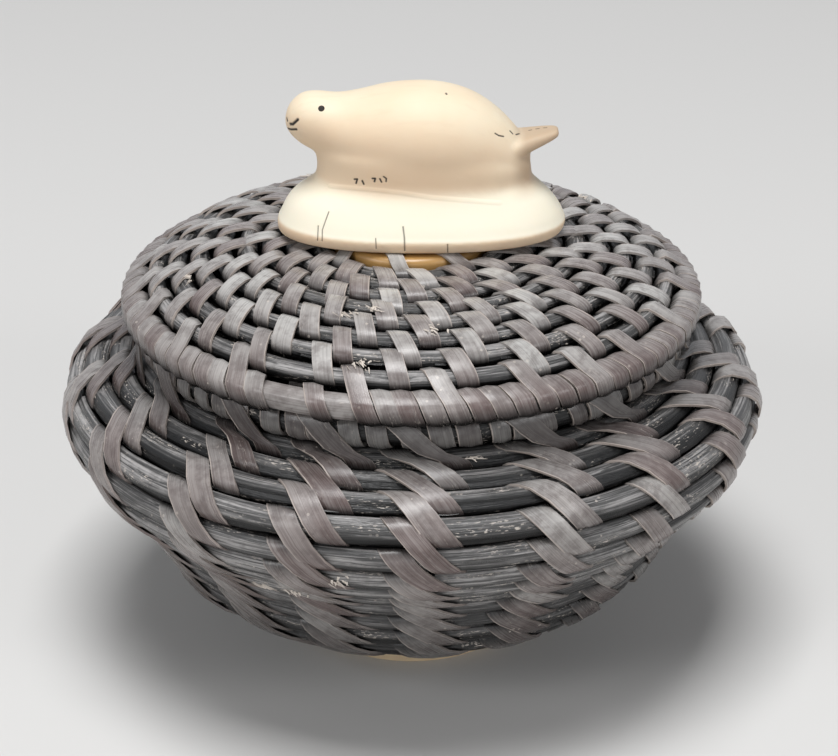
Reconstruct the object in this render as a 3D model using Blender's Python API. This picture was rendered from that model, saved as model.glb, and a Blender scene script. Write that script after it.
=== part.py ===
"""Coiled baleen basket with a lift-off lid and a carved seal as its handle.

Both halves start at an ivory disc. One rod runs round it row after row, a splint lashes each row to
the one before, and a wrapped hoop ends the work. The lid stands on the body's hoop, and a coil under
the lid keeps it centred in the mouth.
"""

import math

import bmesh
import bpy
import numpy as np
from mathutils import Matrix, Vector

MM = 0.001

# Driving dimensions, in millimetres. Profiles are (radius, height) of the rod's centre line,
# from the starting disc outwards, and end on the centre of the rim hoop.
GAP = 0.3
BODY_PROFILE = [
    (15.3, 4.0),
    (20.4, 6.3),
    (25.6, 9.2),
    (30.7, 13.4),
    (33.4, 18.2),
    (36.9, 23.4),
    (41.6, 28.4),
    (43.2, 32.9),
    (41.9, 36.4),
    (37.9, 38.1),
    (34.3, 39.6),
    (33.0, 43.2),
]
BODY_ROWS = 17
BODY_ROD_RADIUS = 1.4
BODY_WRAP_RADIUS = 2.0
LID_PROFILE = [
    (11.8, 53.1),
    (17.8, 53.0),
    (23.8, 52.3),
    (29.2, 50.6),
    (32.1, 49.1),
    (34.8, 47.1),
]
LID_ROWS = 8
LID_ROD_RADIUS = 1.25
LID_WRAP_RADIUS = 1.9

# The coils step out by one row over this share of a turn, round the back.
STEP_SHARE = 0.25
STEP_END_ANGLE = math.radians(135)
POINTS_PER_TURN = 24
LEAST_ROD_RADIUS = 0.45
PROFILE_REACH = 0.2
# The rod is spliced from lengths, which end at these turns of the coil.
BODY_SPLICES = {"base_rod": 4.5, "bowl_rod": 8.5, "belly_rod": 12.5, "shoulder_rod": None}
LID_SPLICES = {"lid_inner_rod": 4.5, "lid_outer_rod": None}

# Lashing splint: two stitches side by side cross each row and slant round the basket.
SPLINT_THICKNESS = 0.35
HOOP_CORE_RADIUS = 1.2
BODY_COLUMNS = 18
BODY_STITCH_ANGLE = math.radians(9.4)
BODY_SLANT_ANGLE = math.radians(5.2)
LID_COLUMNS = 24
LID_STITCH_ANGLE = math.radians(7.4)
LID_SLANT_ANGLE = math.radians(3.4)
INNER_ROWS = 4

# The wrap round each hoop is a split tube: it is open towards the last row's inner side, and the
# stitches grow out of it at the root. Angles run round the hoop from straight outwards.
HOOP_SEGMENTS = 30
HOOP_SIDES = 6
WRAP_SIDES = 6
WRAP_SLIT = math.radians(80)
BODY_WRAP_OPEN_ANGLE = math.radians(200)
BODY_WRAP_ROOT_ANGLE = math.radians(-30)
LID_WRAP_OPEN_ANGLE = math.radians(215)
LID_WRAP_ROOT_ANGLE = math.radians(105)

DISC_SEGMENTS = 28
DISC_EDGE = 0.7
DISC_FLAT_SHARE = 0.6
BASE_DISC_HOLES = 9
LID_DISC_HOLES = 12
BASE_DISC_RADIUS = 13.5
BASE_DISC_HEIGHT = 4.4
LID_DISC_RADIUS = 10.2
LID_DISC_BOTTOM = 51.7
LID_DISC_TOP = 55.2
STITCH_HOLE_RADIUS = 0.7
STITCH_HOLE_INSET = 1.8
STITCH_HOLE_SIDES = 6

FLANGE_RADIUS = 28.6
FLANGE_ROD_RADIUS = 1.2
FLANGE_TOP_HEIGHT = 48.1
FLANGE_TURNS = 2

PEG_RADIUS = 1.6
PEG_EDGE = 0.3
PEG_SIDES = 16
PEG_BOTTOM = 52.0
PEG_TOP = 58.4
FINIAL_X = 0.7
FINIAL_BOTTOM = 55.5
EYE_RADIUS = 0.4
EYE_PLACE = (-11.5, 2.85, 16.6)
EYE_LENGTH = 1.1
EYE_TILT = math.radians(52)
EYE_SIDES = 10
EYE_SOCKET_GAP = 0.06
EYE_SOCKET_LENGTH = 2.2

# Carving, from the finial's own base centre: rings of the mound are (height, half length, half width,
# centre shift), sections of the seal are (x, height of centre, half height, half width).
MOUND_SIDES = 28
MOUND_SQUARENESS = 2.3
SEAL_SIDES = 18
FLUKE_SIDES = 12
MOUND_RINGS = [
    (0.0, 17.2, 8.4, 0.4),
    (0.8, 18.0, 9.3, 0.5),
    (1.9, 18.1, 9.6, 0.6),
    (2.8, 17.8, 9.0, 0.6),
    (4.4, 16.7, 7.9, 0.5),
    (5.7, 15.2, 7.1, 0.6),
    (7.0, 13.2, 6.4, 0.9),
    (9.0, 12.9, 6.5, 0.8),
    (10.9, 12.4, 6.5, 0.0),
]
SEAL_SECTIONS = [
    (-16.3, 14.3, 0.8, 0.8),
    (-15.7, 14.5, 2.0, 1.9),
    (-14.2, 14.5, 3.3, 3.1),
    (-12.2, 14.1, 3.9, 3.8),
    (-9.8, 13.1, 4.6, 4.6),
    (-7.0, 12.5, 5.6, 5.5),
    (-3.6, 12.1, 6.8, 6.3),
    (0.4, 11.9, 7.3, 6.7),
    (3.6, 11.7, 7.2, 6.6),
    (6.6, 11.2, 6.5, 6.0),
    (9.4, 10.3, 5.6, 5.0),
    (12.0, 9.2, 4.1, 3.8),
    (14.1, 8.3, 2.6, 2.4),
]
FLUKE_SECTIONS = [
    (0.0, 2.8, 1.9),
    (3.4, 1.95, 1.7),
    (6.4, 1.2, 1.35),
    (8.2, 0.75, 0.9),
    (8.9, 0.25, 0.3),
]
FLUKE_ROOT = (9.2, 0.4, 10.0)
FLUKE_RISE = math.radians(17.5)
FLUKE_SPREAD = math.radians(4)


def clear_scene():
    for found in list(bpy.data.objects):
        bpy.data.objects.remove(found)


def material(name, colour, roughness):
    made = bpy.data.materials.new(name)
    made.use_nodes = True
    shader = made.node_tree.nodes["Principled BSDF"]
    shader.inputs["Base Color"].default_value = (*colour, 1.0)
    shader.inputs["Roughness"].default_value = roughness
    shader.inputs["Metallic"].default_value = 0.0
    return made


def place(name, data, finish, parent):
    made = bpy.data.objects.new(name, data)
    bpy.context.scene.collection.objects.link(made)
    made.data.materials.append(finish)
    made.parent = parent
    return made


def object_from(bm, name, finish, parent, sharp_angle=math.radians(50)):
    bmesh.ops.recalc_face_normals(bm, faces=bm.faces)
    mesh = bpy.data.meshes.new(name)
    bm.to_mesh(mesh)
    bm.free()
    mesh.shade_smooth()
    mesh.set_sharp_from_angle(angle=sharp_angle)
    return place(name, mesh, finish, parent)


def hide_cutter(cutter):
    cutter.hide_render = True
    cutter.display_type = "WIRE"


def add_boolean(target, other, operation):
    hide_cutter(other)
    step = target.modifiers.new(f"{operation.title()} {other.name}", "BOOLEAN")
    step.operation = operation
    step.object = other
    step.solver = "EXACT"


def smooth_profile(stations, samples=24):
    """Points on a smooth line through the stations, with the length run at each."""
    stations = np.array(stations)
    before_first = 2 * stations[0] - stations[1]
    after_last = 2 * stations[-1] - stations[-2]
    knots = np.vstack([before_first, stations, after_last])
    points = []
    for before, start, end, after in zip(knots, knots[1:], knots[2:], knots[3:]):
        for u in np.arange(samples) / samples:
            bend = (2 * before - 5 * start + 4 * end - after) * u**2
            turn = (3 * start - before - 3 * end + after) * u**3
            points.append(0.5 * (2 * start + (end - before) * u + bend + turn))
    points = np.array([*points, knots[-2]])
    steps = np.linalg.norm(np.diff(points, axis=0), axis=1)
    return np.concatenate([[0.0], np.cumsum(steps)]), points


class Coil:
    """Rows of rod laid along a turned profile, counted from the starting disc.

    out_side is 1 where the profile climbs, as on the body, and -1 where it falls, as on the lid.
    """

    def __init__(self, stations, rows, rod_radius, wrap_radius, out_side):
        self.lengths, self.points = smooth_profile(stations)
        self.rows = rows
        self.rod_radius = rod_radius
        self.hoop = stations[-1]
        self.out_side = out_side
        hoop_room = rod_radius + wrap_radius + GAP
        self.pitch = (self.lengths[-1] - hoop_room) / (rows - 1)

    def frame(self, length):
        """Point of the profile at this length, its direction there and its outer normal."""
        inside = min(max(length, PROFILE_REACH), self.lengths[-1] - PROFILE_REACH)
        ahead = self.on_line(inside + PROFILE_REACH)
        behind = self.on_line(inside - PROFILE_REACH)
        along = (ahead - behind) / np.linalg.norm(ahead - behind)
        out = self.out_side * np.array([along[1], -along[0]])
        return self.on_line(inside) + along * (length - inside), along, out

    def on_line(self, length):
        return np.array([np.interp(length, self.lengths, axis) for axis in self.points.T])

    def step(self, angle):
        """How far the rows have stepped out at this angle, from 0 to 1 of a row."""
        share = ((angle - STEP_END_ANGLE) / math.tau) % 1.0
        return max(0.0, (share - (1 - STEP_SHARE)) / STEP_SHARE)

    def rod_point(self, turn):
        """Centre and radius of the rod after this many turns. Its ends taper where the rows step out."""
        share = turn % 1.0
        step = max(0.0, (share - (1 - STEP_SHARE)) / STEP_SHARE)
        row = math.floor(turn + 1e-9) + step
        rod_radius = self.rod_radius
        if turn < -1e-9:
            rod_radius = min(rod_radius, (self.pitch * step - 2 * GAP) / 2)
            length = rod_radius - self.rod_radius
        elif turn > self.rows - STEP_SHARE:
            rod_radius = min(rod_radius, (self.pitch * (1 - step) - 2 * GAP) / 2)
            length = (self.rows - 1) * self.pitch + self.rod_radius - rod_radius
        else:
            length = self.pitch * row
        (radius, height), _, _ = self.frame(length)
        angle = STEP_END_ANGLE + math.tau * turn
        centre = Vector((radius * math.cos(angle), radius * math.sin(angle), height))
        return centre * MM, max(rod_radius, LEAST_ROD_RADIUS) * MM

    def rod_turns(self, start, end):
        count = round((end - start) * POINTS_PER_TURN)
        return [start + i / POINTS_PER_TURN for i in range(count + 1)]

    def over_row(self, row, angle, side, lift):
        """Point above a row, near its edge towards the rim (side 1) or the disc (side -1)."""
        stepped = row + self.step(angle)
        centre, direction, out = self.frame(self.pitch * stepped)
        radius, height = centre + direction * side * self.reach(stepped, side) + out * lift
        return Vector((radius * math.cos(angle), radius * math.sin(angle), height)) * MM

    def reach(self, row, side):
        """How far a stitch lies along the wall beside its row's crest, which is less where the wall is hollow."""
        centre, _, out = self.frame(self.pitch * row)
        beyond, _, out_beyond = self.frame(self.pitch * (row + side))
        half_turn = math.acos(min(1.0, out @ out_beyond)) / 2
        hollow = (out_beyond - out) @ (beyond - centre) < 0
        fold = (self.rod_radius + GAP + SPLINT_THICKNESS) * math.tan(half_turn) if hollow else 0.0
        return self.pitch / 2 - GAP - fold


def least_gap(coil, turns):
    """Smallest clearance between rod points that are more than half a turn apart, in millimetres."""
    laid = [coil.rod_point(turn) for turn in turns]
    centres = np.array([centre for centre, _ in laid]) / MM
    radii = np.array([radius for _, radius in laid]) / MM
    apart = np.linalg.norm(centres[:, None] - centres[None], axis=2) - radii[:, None] - radii[None]
    near = np.abs(np.subtract.outer(turns, turns)) < 0.5
    return np.where(near, np.inf, apart).min()


def rod_object(name, path, finish, parent):
    """Tube along centres and radii, as one spline with filled ends."""
    thickest = max(radius for _, radius in path)
    curve = bpy.data.curves.new(name, "CURVE")
    curve.dimensions = "3D"
    curve.twist_mode = "Z_UP"
    curve.bevel_depth = thickest
    curve.bevel_resolution = 1
    curve.use_fill_caps = True
    spline = curve.splines.new("POLY")
    spline.points.add(len(path) - 1)
    for point, (centre, radius) in zip(spline.points, path):
        point.co = (*centre, 1.0)
        point.radius = radius / thickest
    return place(name, curve, finish, parent)


def coil_rods(coil, splices, finish, parent):
    """The rod of a coil, in the lengths that it is spliced from."""
    step = 1 / POINTS_PER_TURN
    first = -round(STEP_SHARE * POINTS_PER_TURN / 2) * step
    last = coil.rows - round(STEP_SHARE * POINTS_PER_TURN / 2) * step
    start = first
    for name, end in splices.items():
        turns = coil.rod_turns(start, last if end is None else end)
        if start != first:
            centre, _ = coil.rod_point(start)
            turns[0] += GAP * MM / (math.tau * centre.xy.length)
        rod_object(name, [coil.rod_point(turn) for turn in turns], finish, parent)
        start = end
    gap = least_gap(coil, coil.rod_turns(first, last))
    print(f"{' + '.join(splices)}: pitch {coil.pitch:.2f} mm, least gap {gap:.2f} mm")


def turned(bm, section, steps, closed=True):
    """Spins a (radius, height) outline round Z into a closed solid."""
    verts = [bm.verts.new((radius * MM, 0.0, height * MM)) for radius, height in section]
    pairs = zip(verts, verts[1:] + verts[:1]) if closed else zip(verts, verts[1:])
    edges = [bm.edges.new(pair) for pair in pairs]
    bmesh.ops.spin(
        bm,
        geom=verts + edges,
        cent=(0, 0, 0),
        axis=(0, 0, 1),
        angle=math.tau,
        steps=steps,
        use_merge=True,
    )
    bmesh.ops.remove_doubles(bm, verts=bm.verts, dist=1e-6)


def ring_section(centre, radius, sides):
    turns = [math.tau * i / sides for i in range(sides)]
    return [(centre[0] + radius * math.cos(a), centre[1] + radius * math.sin(a)) for a in turns]


def wrap_section(centre, radius, open_angle):
    """Split tube section round a hoop, open at open_angle: outer corners, then inner ones."""
    first = open_angle + WRAP_SLIT / 2
    turns = [first + (math.tau - WRAP_SLIT) * i / (WRAP_SIDES - 1) for i in range(WRAP_SIDES)]
    outer = [(centre[0] + radius * math.cos(a), centre[1] + radius * math.sin(a)) for a in turns]
    within = radius - SPLINT_THICKNESS
    inner = [(centre[0] + within * math.cos(a), centre[1] + within * math.sin(a)) for a in turns]
    return outer + inner[::-1]


def hoop(name, coil, finish, parent):
    bm = bmesh.new()
    turned(bm, ring_section(coil.hoop, HOOP_CORE_RADIUS, HOOP_SIDES), HOOP_SEGMENTS)
    return object_from(bm, name, finish, parent)


def stitch_tile(coil, row, angle, width, slant):
    """Corner rings of the stitches on one row, from the rim side to the disc side."""
    low = coil.rod_radius + GAP
    high = low + SPLINT_THICKNESS
    rings = []
    for side in (1, -1):
        left = angle + (slant if side * coil.out_side < 0 else 0.0)
        right = left + width
        corners = [(left, high), (right, high), (right, low), (left, low)]
        ring = [coil.over_row(row, a, side, lift) for a, lift in corners]
        rings.append(ring if coil.out_side < 0 else ring[::-1])
    return rings


def lay_band(bm, face, rings):
    """Grows a face of the wrap along the rings, so that the stitches and the wrap are one body."""
    for ring in rings:
        face = bmesh.ops.extrude_discrete_faces(bm, faces=[face])["faces"][0]
        corners = list(face.verts)
        offsets = [sum((c.co - p).length for c, p in zip(corners, turn(ring, k))) for k in range(4)]
        best = offsets.index(min(offsets))
        for corner, target in zip(corners, turn(ring, best)):
            corner.co = target
    return face


def turn(ring, count):
    return ring[count:] + ring[:count]


def facing(bm, angle, centre, section_angle, reach):
    """The wrap's outer face nearest to this angle round the basket and round the hoop."""
    radius = (centre[0] + reach * math.cos(section_angle)) * MM
    height = (centre[1] + reach * math.sin(section_angle)) * MM
    place_on_wrap = Vector((radius * math.cos(angle), radius * math.sin(angle), height))
    return min(bm.faces, key=lambda face: (face.calc_center_median() - place_on_wrap).length)


def lashing(name, coil, columns, width, slant, wrap, finish, parent):
    """Splint work of one half: the wrap round its hoop and the columns of slanting stitches."""
    radius, open_angle, root_angle = wrap
    bm = bmesh.new()
    turned(bm, wrap_section(coil.hoop, radius, open_angle), 2 * columns)
    bmesh.ops.recalc_face_normals(bm, faces=bm.faces)
    half_step = math.pi / (2 * columns)
    roots = []
    for column in range(columns):
        angle = math.tau * column / columns + half_step
        roots.append((column, angle, facing(bm, angle, coil.hoop, root_angle, radius)))
    for column, angle, face in roots:
        left = angle - width / 2
        top_row = coil.rows - 1 if coil.step(left + width) < 0.1 else coil.rows - 2
        last_row = 0 if column % 2 == 0 else INNER_ROWS
        rings = []
        for row in range(top_row, last_row - 1, -1):
            rings += stitch_tile(coil, row, left, width, slant)
        lay_band(bm, face, rings)
    bmesh.ops.triangulate(bm, faces=bm.faces, quad_method="SHORT_EDGE")
    return object_from(bm, name, finish, parent)


def disc(name, radius, bottom, top, hole_count, finish, parent, bore=None):
    """Starting disc with a rounded edge, a ring of holes for the first stitches and, on the lid, a bore."""
    edge = DISC_EDGE
    bm = bmesh.new()
    outline = [
        (0.0, bottom),
        (radius - edge, bottom),
        (radius, bottom + edge),
        (radius, top - 2 * edge),
        (radius - edge, top - edge / 2),
        (radius * DISC_FLAT_SHARE, top),
        (0.0, top),
    ]
    turned(bm, outline, DISC_SEGMENTS, closed=False)
    made = object_from(bm, name, finish, parent)
    holes = bmesh.new()
    for i in range(hole_count):
        angle = math.tau * (i + 0.5) / hole_count
        where = radius - STITCH_HOLE_INSET
        centre = Vector((where * math.cos(angle), where * math.sin(angle), (top + bottom) / 2)) * MM
        drill(holes, centre, STITCH_HOLE_RADIUS, 2 * (top - bottom), STITCH_HOLE_SIDES)
    if bore:
        centre = Vector((0.0, 0.0, (top + bottom) / 2)) * MM
        drill(holes, centre, bore, 2 * (top - bottom), PEG_SIDES)
    add_boolean(made, object_from(holes, f"{name}_holes", finish, None), "DIFFERENCE")
    return made


def drill(bm, centre, radius, depth, sides):
    bmesh.ops.create_cone(
        bm,
        cap_ends=True,
        segments=sides,
        radius1=radius * MM,
        radius2=radius * MM,
        depth=depth * MM,
        matrix=Matrix.Translation(centre),
    )


def flange_rod(finish, parent):
    """Coil of two turns under the lid, which drops into the mouth."""
    rise = 2 * FLANGE_ROD_RADIUS + 2 * GAP
    count = FLANGE_TURNS * POINTS_PER_TURN
    path = []
    for i in range(count + 1):
        turns = i / POINTS_PER_TURN
        angle = STEP_END_ANGLE + math.tau * turns
        height = FLANGE_TOP_HEIGHT - rise * turns
        centre = Vector((FLANGE_RADIUS * math.cos(angle), FLANGE_RADIUS * math.sin(angle), height))
        path.append((centre * MM, FLANGE_ROD_RADIUS * MM))
    print(f"flange_rod: least gap {rise - 2 * FLANGE_ROD_RADIUS:.2f} mm")
    return rod_object("flange_rod", path, finish, parent)


def loft(bm, rings):
    """Skins rings of points, first to last, and closes both ends."""
    loops = []
    for ring in rings:
        verts = [bm.verts.new(point) for point in ring]
        loops.append([bm.edges.new(pair) for pair in zip(verts, verts[1:] + verts[:1])])
    for first, second in zip(loops, loops[1:]):
        bmesh.ops.bridge_loops(bm, edges=first + second)
    bmesh.ops.edgenet_fill(bm, edges=loops[0])
    bmesh.ops.edgenet_fill(bm, edges=loops[-1])


def oval(half_x, half_y, sides, squareness=2.0):
    """Corners of an oval that squareness above 2 makes fuller at its shoulders."""
    corners = []
    for i in range(sides):
        a = math.tau * i / sides
        x = math.copysign(abs(math.cos(a)) ** (2 / squareness), math.cos(a)) * half_x
        y = math.copysign(abs(math.sin(a)) ** (2 / squareness), math.sin(a)) * half_y
        corners.append((x, y))
    return corners


def mound():
    """Flared foot of the carving, which narrows up to the seal's belly."""
    bm = bmesh.new()
    rings = []
    for height, half_length, half_width, shift in MOUND_RINGS:
        outline = oval(half_length, half_width, MOUND_SIDES, MOUND_SQUARENESS)
        rings.append([Vector((x + shift, y, height)) * MM for x, y in outline])
    loft(bm, rings)
    return bm


def seal():
    """Seal's head, back and tail root, from nose to tail."""
    bm = bmesh.new()
    rings = []
    for x, centre, half_height, half_width in SEAL_SECTIONS:
        outline = oval(half_width, half_height, SEAL_SIDES)
        rings.append([Vector((x, y, centre + z)) * MM for y, z in outline])
    loft(bm, rings)
    return bm


def fluke(side):
    """One hind flipper, which rises and spreads to its side."""
    bm = bmesh.new()
    turn_out = Matrix.Rotation(side * FLUKE_SPREAD, 4, "Z") @ Matrix.Rotation(-FLUKE_RISE, 4, "Y")
    x, y, z = FLUKE_ROOT
    lift = Matrix.Translation(Vector((x, side * y, z)) * MM) @ turn_out
    rings = []
    for reach, half_height, half_width in FLUKE_SECTIONS:
        outline = oval(half_width, half_height, FLUKE_SIDES)
        rings.append([lift @ (Vector((reach, y, z)) * MM) for y, z in outline])
    loft(bm, rings)
    return bm


def finial(finish, eye_finish, parent):
    """Ivory carving with its peg socket and drilled eyes, and the two eye inlays."""
    base = bpy.data.objects.new("finial_base_centre", None)
    bpy.context.scene.collection.objects.link(base)
    base.parent = parent
    base.location = (FINIAL_X * MM, 0.0, FINIAL_BOTTOM * MM)
    made = object_from(mound(), "seal_finial", finish, base)
    add_boolean(made, object_from(seal(), "seal_body", finish, base), "UNION")
    for side, name in ((1, "far_fluke"), (-1, "near_fluke")):
        add_boolean(made, object_from(fluke(side), name, finish, base), "UNION")
    holes = bmesh.new()
    socket_top = PEG_TOP - FINIAL_BOTTOM + GAP
    drill(holes, Vector((-FINIAL_X, 0.0, 0.0)) * MM, PEG_RADIUS + GAP, 2 * socket_top, PEG_SIDES)
    for side in (-1, 1):
        eye_drill(holes, side, EYE_RADIUS + EYE_SOCKET_GAP, EYE_SOCKET_LENGTH)
    add_boolean(made, object_from(holes, "finial_holes", finish, base), "DIFFERENCE")
    for side, name in ((-1, "near_eye"), (1, "far_eye")):
        bm = bmesh.new()
        eye_drill(bm, side, EYE_RADIUS, EYE_LENGTH)
        object_from(bm, name, eye_finish, base)
    return made


def eye_drill(bm, side, radius, length):
    """Round plug through the side of the head, square to it."""
    x, y, z = EYE_PLACE
    tilt = Matrix.Rotation(-side * EYE_TILT, 4, "X")
    start = Matrix.Translation(Vector((x, side * y, z)) * MM)
    bmesh.ops.create_cone(
        bm,
        cap_ends=True,
        segments=EYE_SIDES,
        radius1=radius * MM,
        radius2=radius * MM,
        depth=length * MM,
        matrix=start @ tilt,
    )


def peg(finish, parent):
    bm = bmesh.new()
    outline = [
        (0.0, PEG_BOTTOM),
        (PEG_RADIUS - PEG_EDGE, PEG_BOTTOM),
        (PEG_RADIUS, PEG_BOTTOM + PEG_EDGE),
        (PEG_RADIUS, PEG_TOP - PEG_EDGE),
        (PEG_RADIUS - PEG_EDGE, PEG_TOP),
        (0.0, PEG_TOP),
    ]
    turned(bm, outline, PEG_SIDES, closed=False)
    return object_from(bm, "finial_peg", finish, parent)


def build():
    clear_scene()
    rod_finish = material("baleen_rod", (0.062, 0.058, 0.056), 0.5)
    splint_finish = material("baleen_splint", (0.12, 0.1, 0.092), 0.38)
    ivory = material("ivory", (0.86, 0.74, 0.58), 0.3)
    amber = material("amber_ivory", (0.72, 0.42, 0.12), 0.32)
    eye_finish = material("eye_inlay", (0.012, 0.011, 0.01), 0.25)
    lid = bpy.data.objects.new("lid", None)
    bpy.context.scene.collection.objects.link(lid)
    lid.empty_display_size = 10 * MM

    body_coil = Coil(BODY_PROFILE, BODY_ROWS, BODY_ROD_RADIUS, BODY_WRAP_RADIUS, 1)
    disc("base_disc", BASE_DISC_RADIUS, 0.0, BASE_DISC_HEIGHT, BASE_DISC_HOLES, ivory, None)
    coil_rods(body_coil, BODY_SPLICES, rod_finish, None)
    hoop("body_rim_hoop", body_coil, rod_finish, None)
    body_wrap = (BODY_WRAP_RADIUS, BODY_WRAP_OPEN_ANGLE, BODY_WRAP_ROOT_ANGLE)
    lashing(
        "body_lashing",
        body_coil,
        BODY_COLUMNS,
        BODY_STITCH_ANGLE,
        BODY_SLANT_ANGLE,
        body_wrap,
        splint_finish,
        None,
    )

    lid_coil = Coil(LID_PROFILE, LID_ROWS, LID_ROD_RADIUS, LID_WRAP_RADIUS, -1)
    disc(
        "lid_disc",
        LID_DISC_RADIUS,
        LID_DISC_BOTTOM,
        LID_DISC_TOP,
        LID_DISC_HOLES,
        amber,
        lid,
        bore=PEG_RADIUS + GAP,
    )
    coil_rods(lid_coil, LID_SPLICES, rod_finish, lid)
    hoop("lid_rim_hoop", lid_coil, rod_finish, lid)
    lid_wrap = (LID_WRAP_RADIUS, LID_WRAP_OPEN_ANGLE, LID_WRAP_ROOT_ANGLE)
    lashing(
        "lid_lashing",
        lid_coil,
        LID_COLUMNS,
        LID_STITCH_ANGLE,
        LID_SLANT_ANGLE,
        lid_wrap,
        splint_finish,
        lid,
    )
    flange_rod(rod_finish, lid)
    peg(ivory, lid)
    finial(ivory, eye_finish, lid)


build()
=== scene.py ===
"""Coiled baleen basket with a lidded mouth and a carved seal: its surfaces, finishes and stage."""

import math
from collections import namedtuple

import bmesh
import bpy
import numpy as np
from bpy.props import FloatProperty, FloatVectorProperty, IntProperty, PointerProperty
from mathutils import Matrix, Vector
from mathutils.bvhtree import BVHTree


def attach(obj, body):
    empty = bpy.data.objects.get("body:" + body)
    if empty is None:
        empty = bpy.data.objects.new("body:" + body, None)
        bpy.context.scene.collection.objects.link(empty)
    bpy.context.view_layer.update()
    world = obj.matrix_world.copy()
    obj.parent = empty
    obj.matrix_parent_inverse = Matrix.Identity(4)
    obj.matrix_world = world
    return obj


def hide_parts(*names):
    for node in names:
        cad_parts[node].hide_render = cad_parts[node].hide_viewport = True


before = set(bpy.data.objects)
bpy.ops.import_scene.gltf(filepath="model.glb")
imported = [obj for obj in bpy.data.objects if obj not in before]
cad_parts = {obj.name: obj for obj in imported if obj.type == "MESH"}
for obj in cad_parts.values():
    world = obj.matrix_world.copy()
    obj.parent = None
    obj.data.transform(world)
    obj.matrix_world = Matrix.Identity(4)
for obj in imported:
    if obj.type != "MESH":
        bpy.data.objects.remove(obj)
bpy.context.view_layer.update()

bl_info = {
    "name": "Coiled baleen basket",
    "version": (1, 0, 0),
    "blender": (4, 5, 0),
    "location": "View3D > Sidebar > Basket",
    "description": "Rods, splints, starting discs and carving of a lidded coiled basket",
    "category": "Object",
}

MM = 0.001
WELD = 1e-6
STRIP_SHARP = math.radians(55)

GAP = 0.3
PROFILE_REACH = 0.2
STEP_SHARE = 0.25
STEP_END_ANGLE = math.radians(135)
STEPS_PER_TURN = 210
LEAST_ROD_RADIUS = 0.45

# Profiles are (radius, height) of the rods' centre line in millimetres, from the starting disc to
# the centre of the rim hoop, as in the frame.
BODY_PROFILE = [
    (15.3, 4.0), (20.4, 6.8), (25.6, 9.8), (30.7, 13.6), (33.4, 18.2), (36.9, 23.4),
    (41.6, 28.4), (43.2, 32.9), (41.9, 36.4), (37.9, 38.1), (34.3, 39.6), (33.0, 43.2),
]
LID_PROFILE = [(11.8, 53.1), (17.8, 53.0), (23.8, 52.3), (29.2, 50.6), (32.1, 49.1), (34.8, 47.1)]
BODY_ROWS = 17
LID_ROWS = 8
BODY_ROD_RADIUS = 1.4
LID_ROD_RADIUS = 1.25
BODY_WRAP_RADIUS = 2.0
LID_WRAP_RADIUS = 1.9
BODY_LENGTHS = {"base_rod": 4.5, "bowl_rod": 8.5, "belly_rod": 12.5, "shoulder_rod": None}
LID_LENGTHS = {"lid_inner_rod": 4.5, "lid_outer_rod": None}
FLANGE_RADIUS = 28.6
FLANGE_ROD_RADIUS = 1.2
FLANGE_RISE = 2 * FLANGE_ROD_RADIUS + 2 * GAP
FLANGE_TOP_HEIGHT = 48.1
FLANGE_TURNS = 2

# A rod's or strip's section is an oval, squarer than an ellipse.
SQUARENESS = 2.6
ROD_SQUARENESS = 2.15


def soft(value, squareness=SQUARENESS):
    """Sine or cosine of an angle round an oval with full shoulders."""
    return np.sign(value) * np.abs(value) ** (2 / squareness)


def smooth_line(stations, samples=24):
    """Points on a smooth line through the stations, with the length run at each."""
    stations = np.array(stations, float)
    before_first = 2 * stations[0] - stations[1]
    after_last = 2 * stations[-1] - stations[-2]
    knots = np.vstack([before_first, stations, after_last])
    points = []
    for before, start, end, after in zip(knots, knots[1:], knots[2:], knots[3:]):
        for u in np.arange(samples) / samples:
            bend = (2 * before - 5 * start + 4 * end - after) * u**2
            turn = (3 * start - before - 3 * end + after) * u**3
            points.append(0.5 * (2 * start + (end - before) * u + bend + turn))
    points = np.array([*points, knots[-2]])
    steps = np.linalg.norm(np.diff(points, axis=0), axis=1)
    return np.concatenate([[0.0], np.cumsum(steps)]), points


def round_axis(radius, angle, height):
    """World points at these places round the basket's axis."""
    return np.stack([radius * np.cos(angle), radius * np.sin(angle), height], axis=-1) * MM


def share_of_turn(angle):
    return ((angle - STEP_END_ANGLE) / math.tau) % 1.0


def stepped_out(share):
    """How far the rows have stepped out after this share of a turn, from 0 to 1 of a row."""
    return np.clip((share - (1 - STEP_SHARE)) / STEP_SHARE, 0.0, 1.0)


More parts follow.
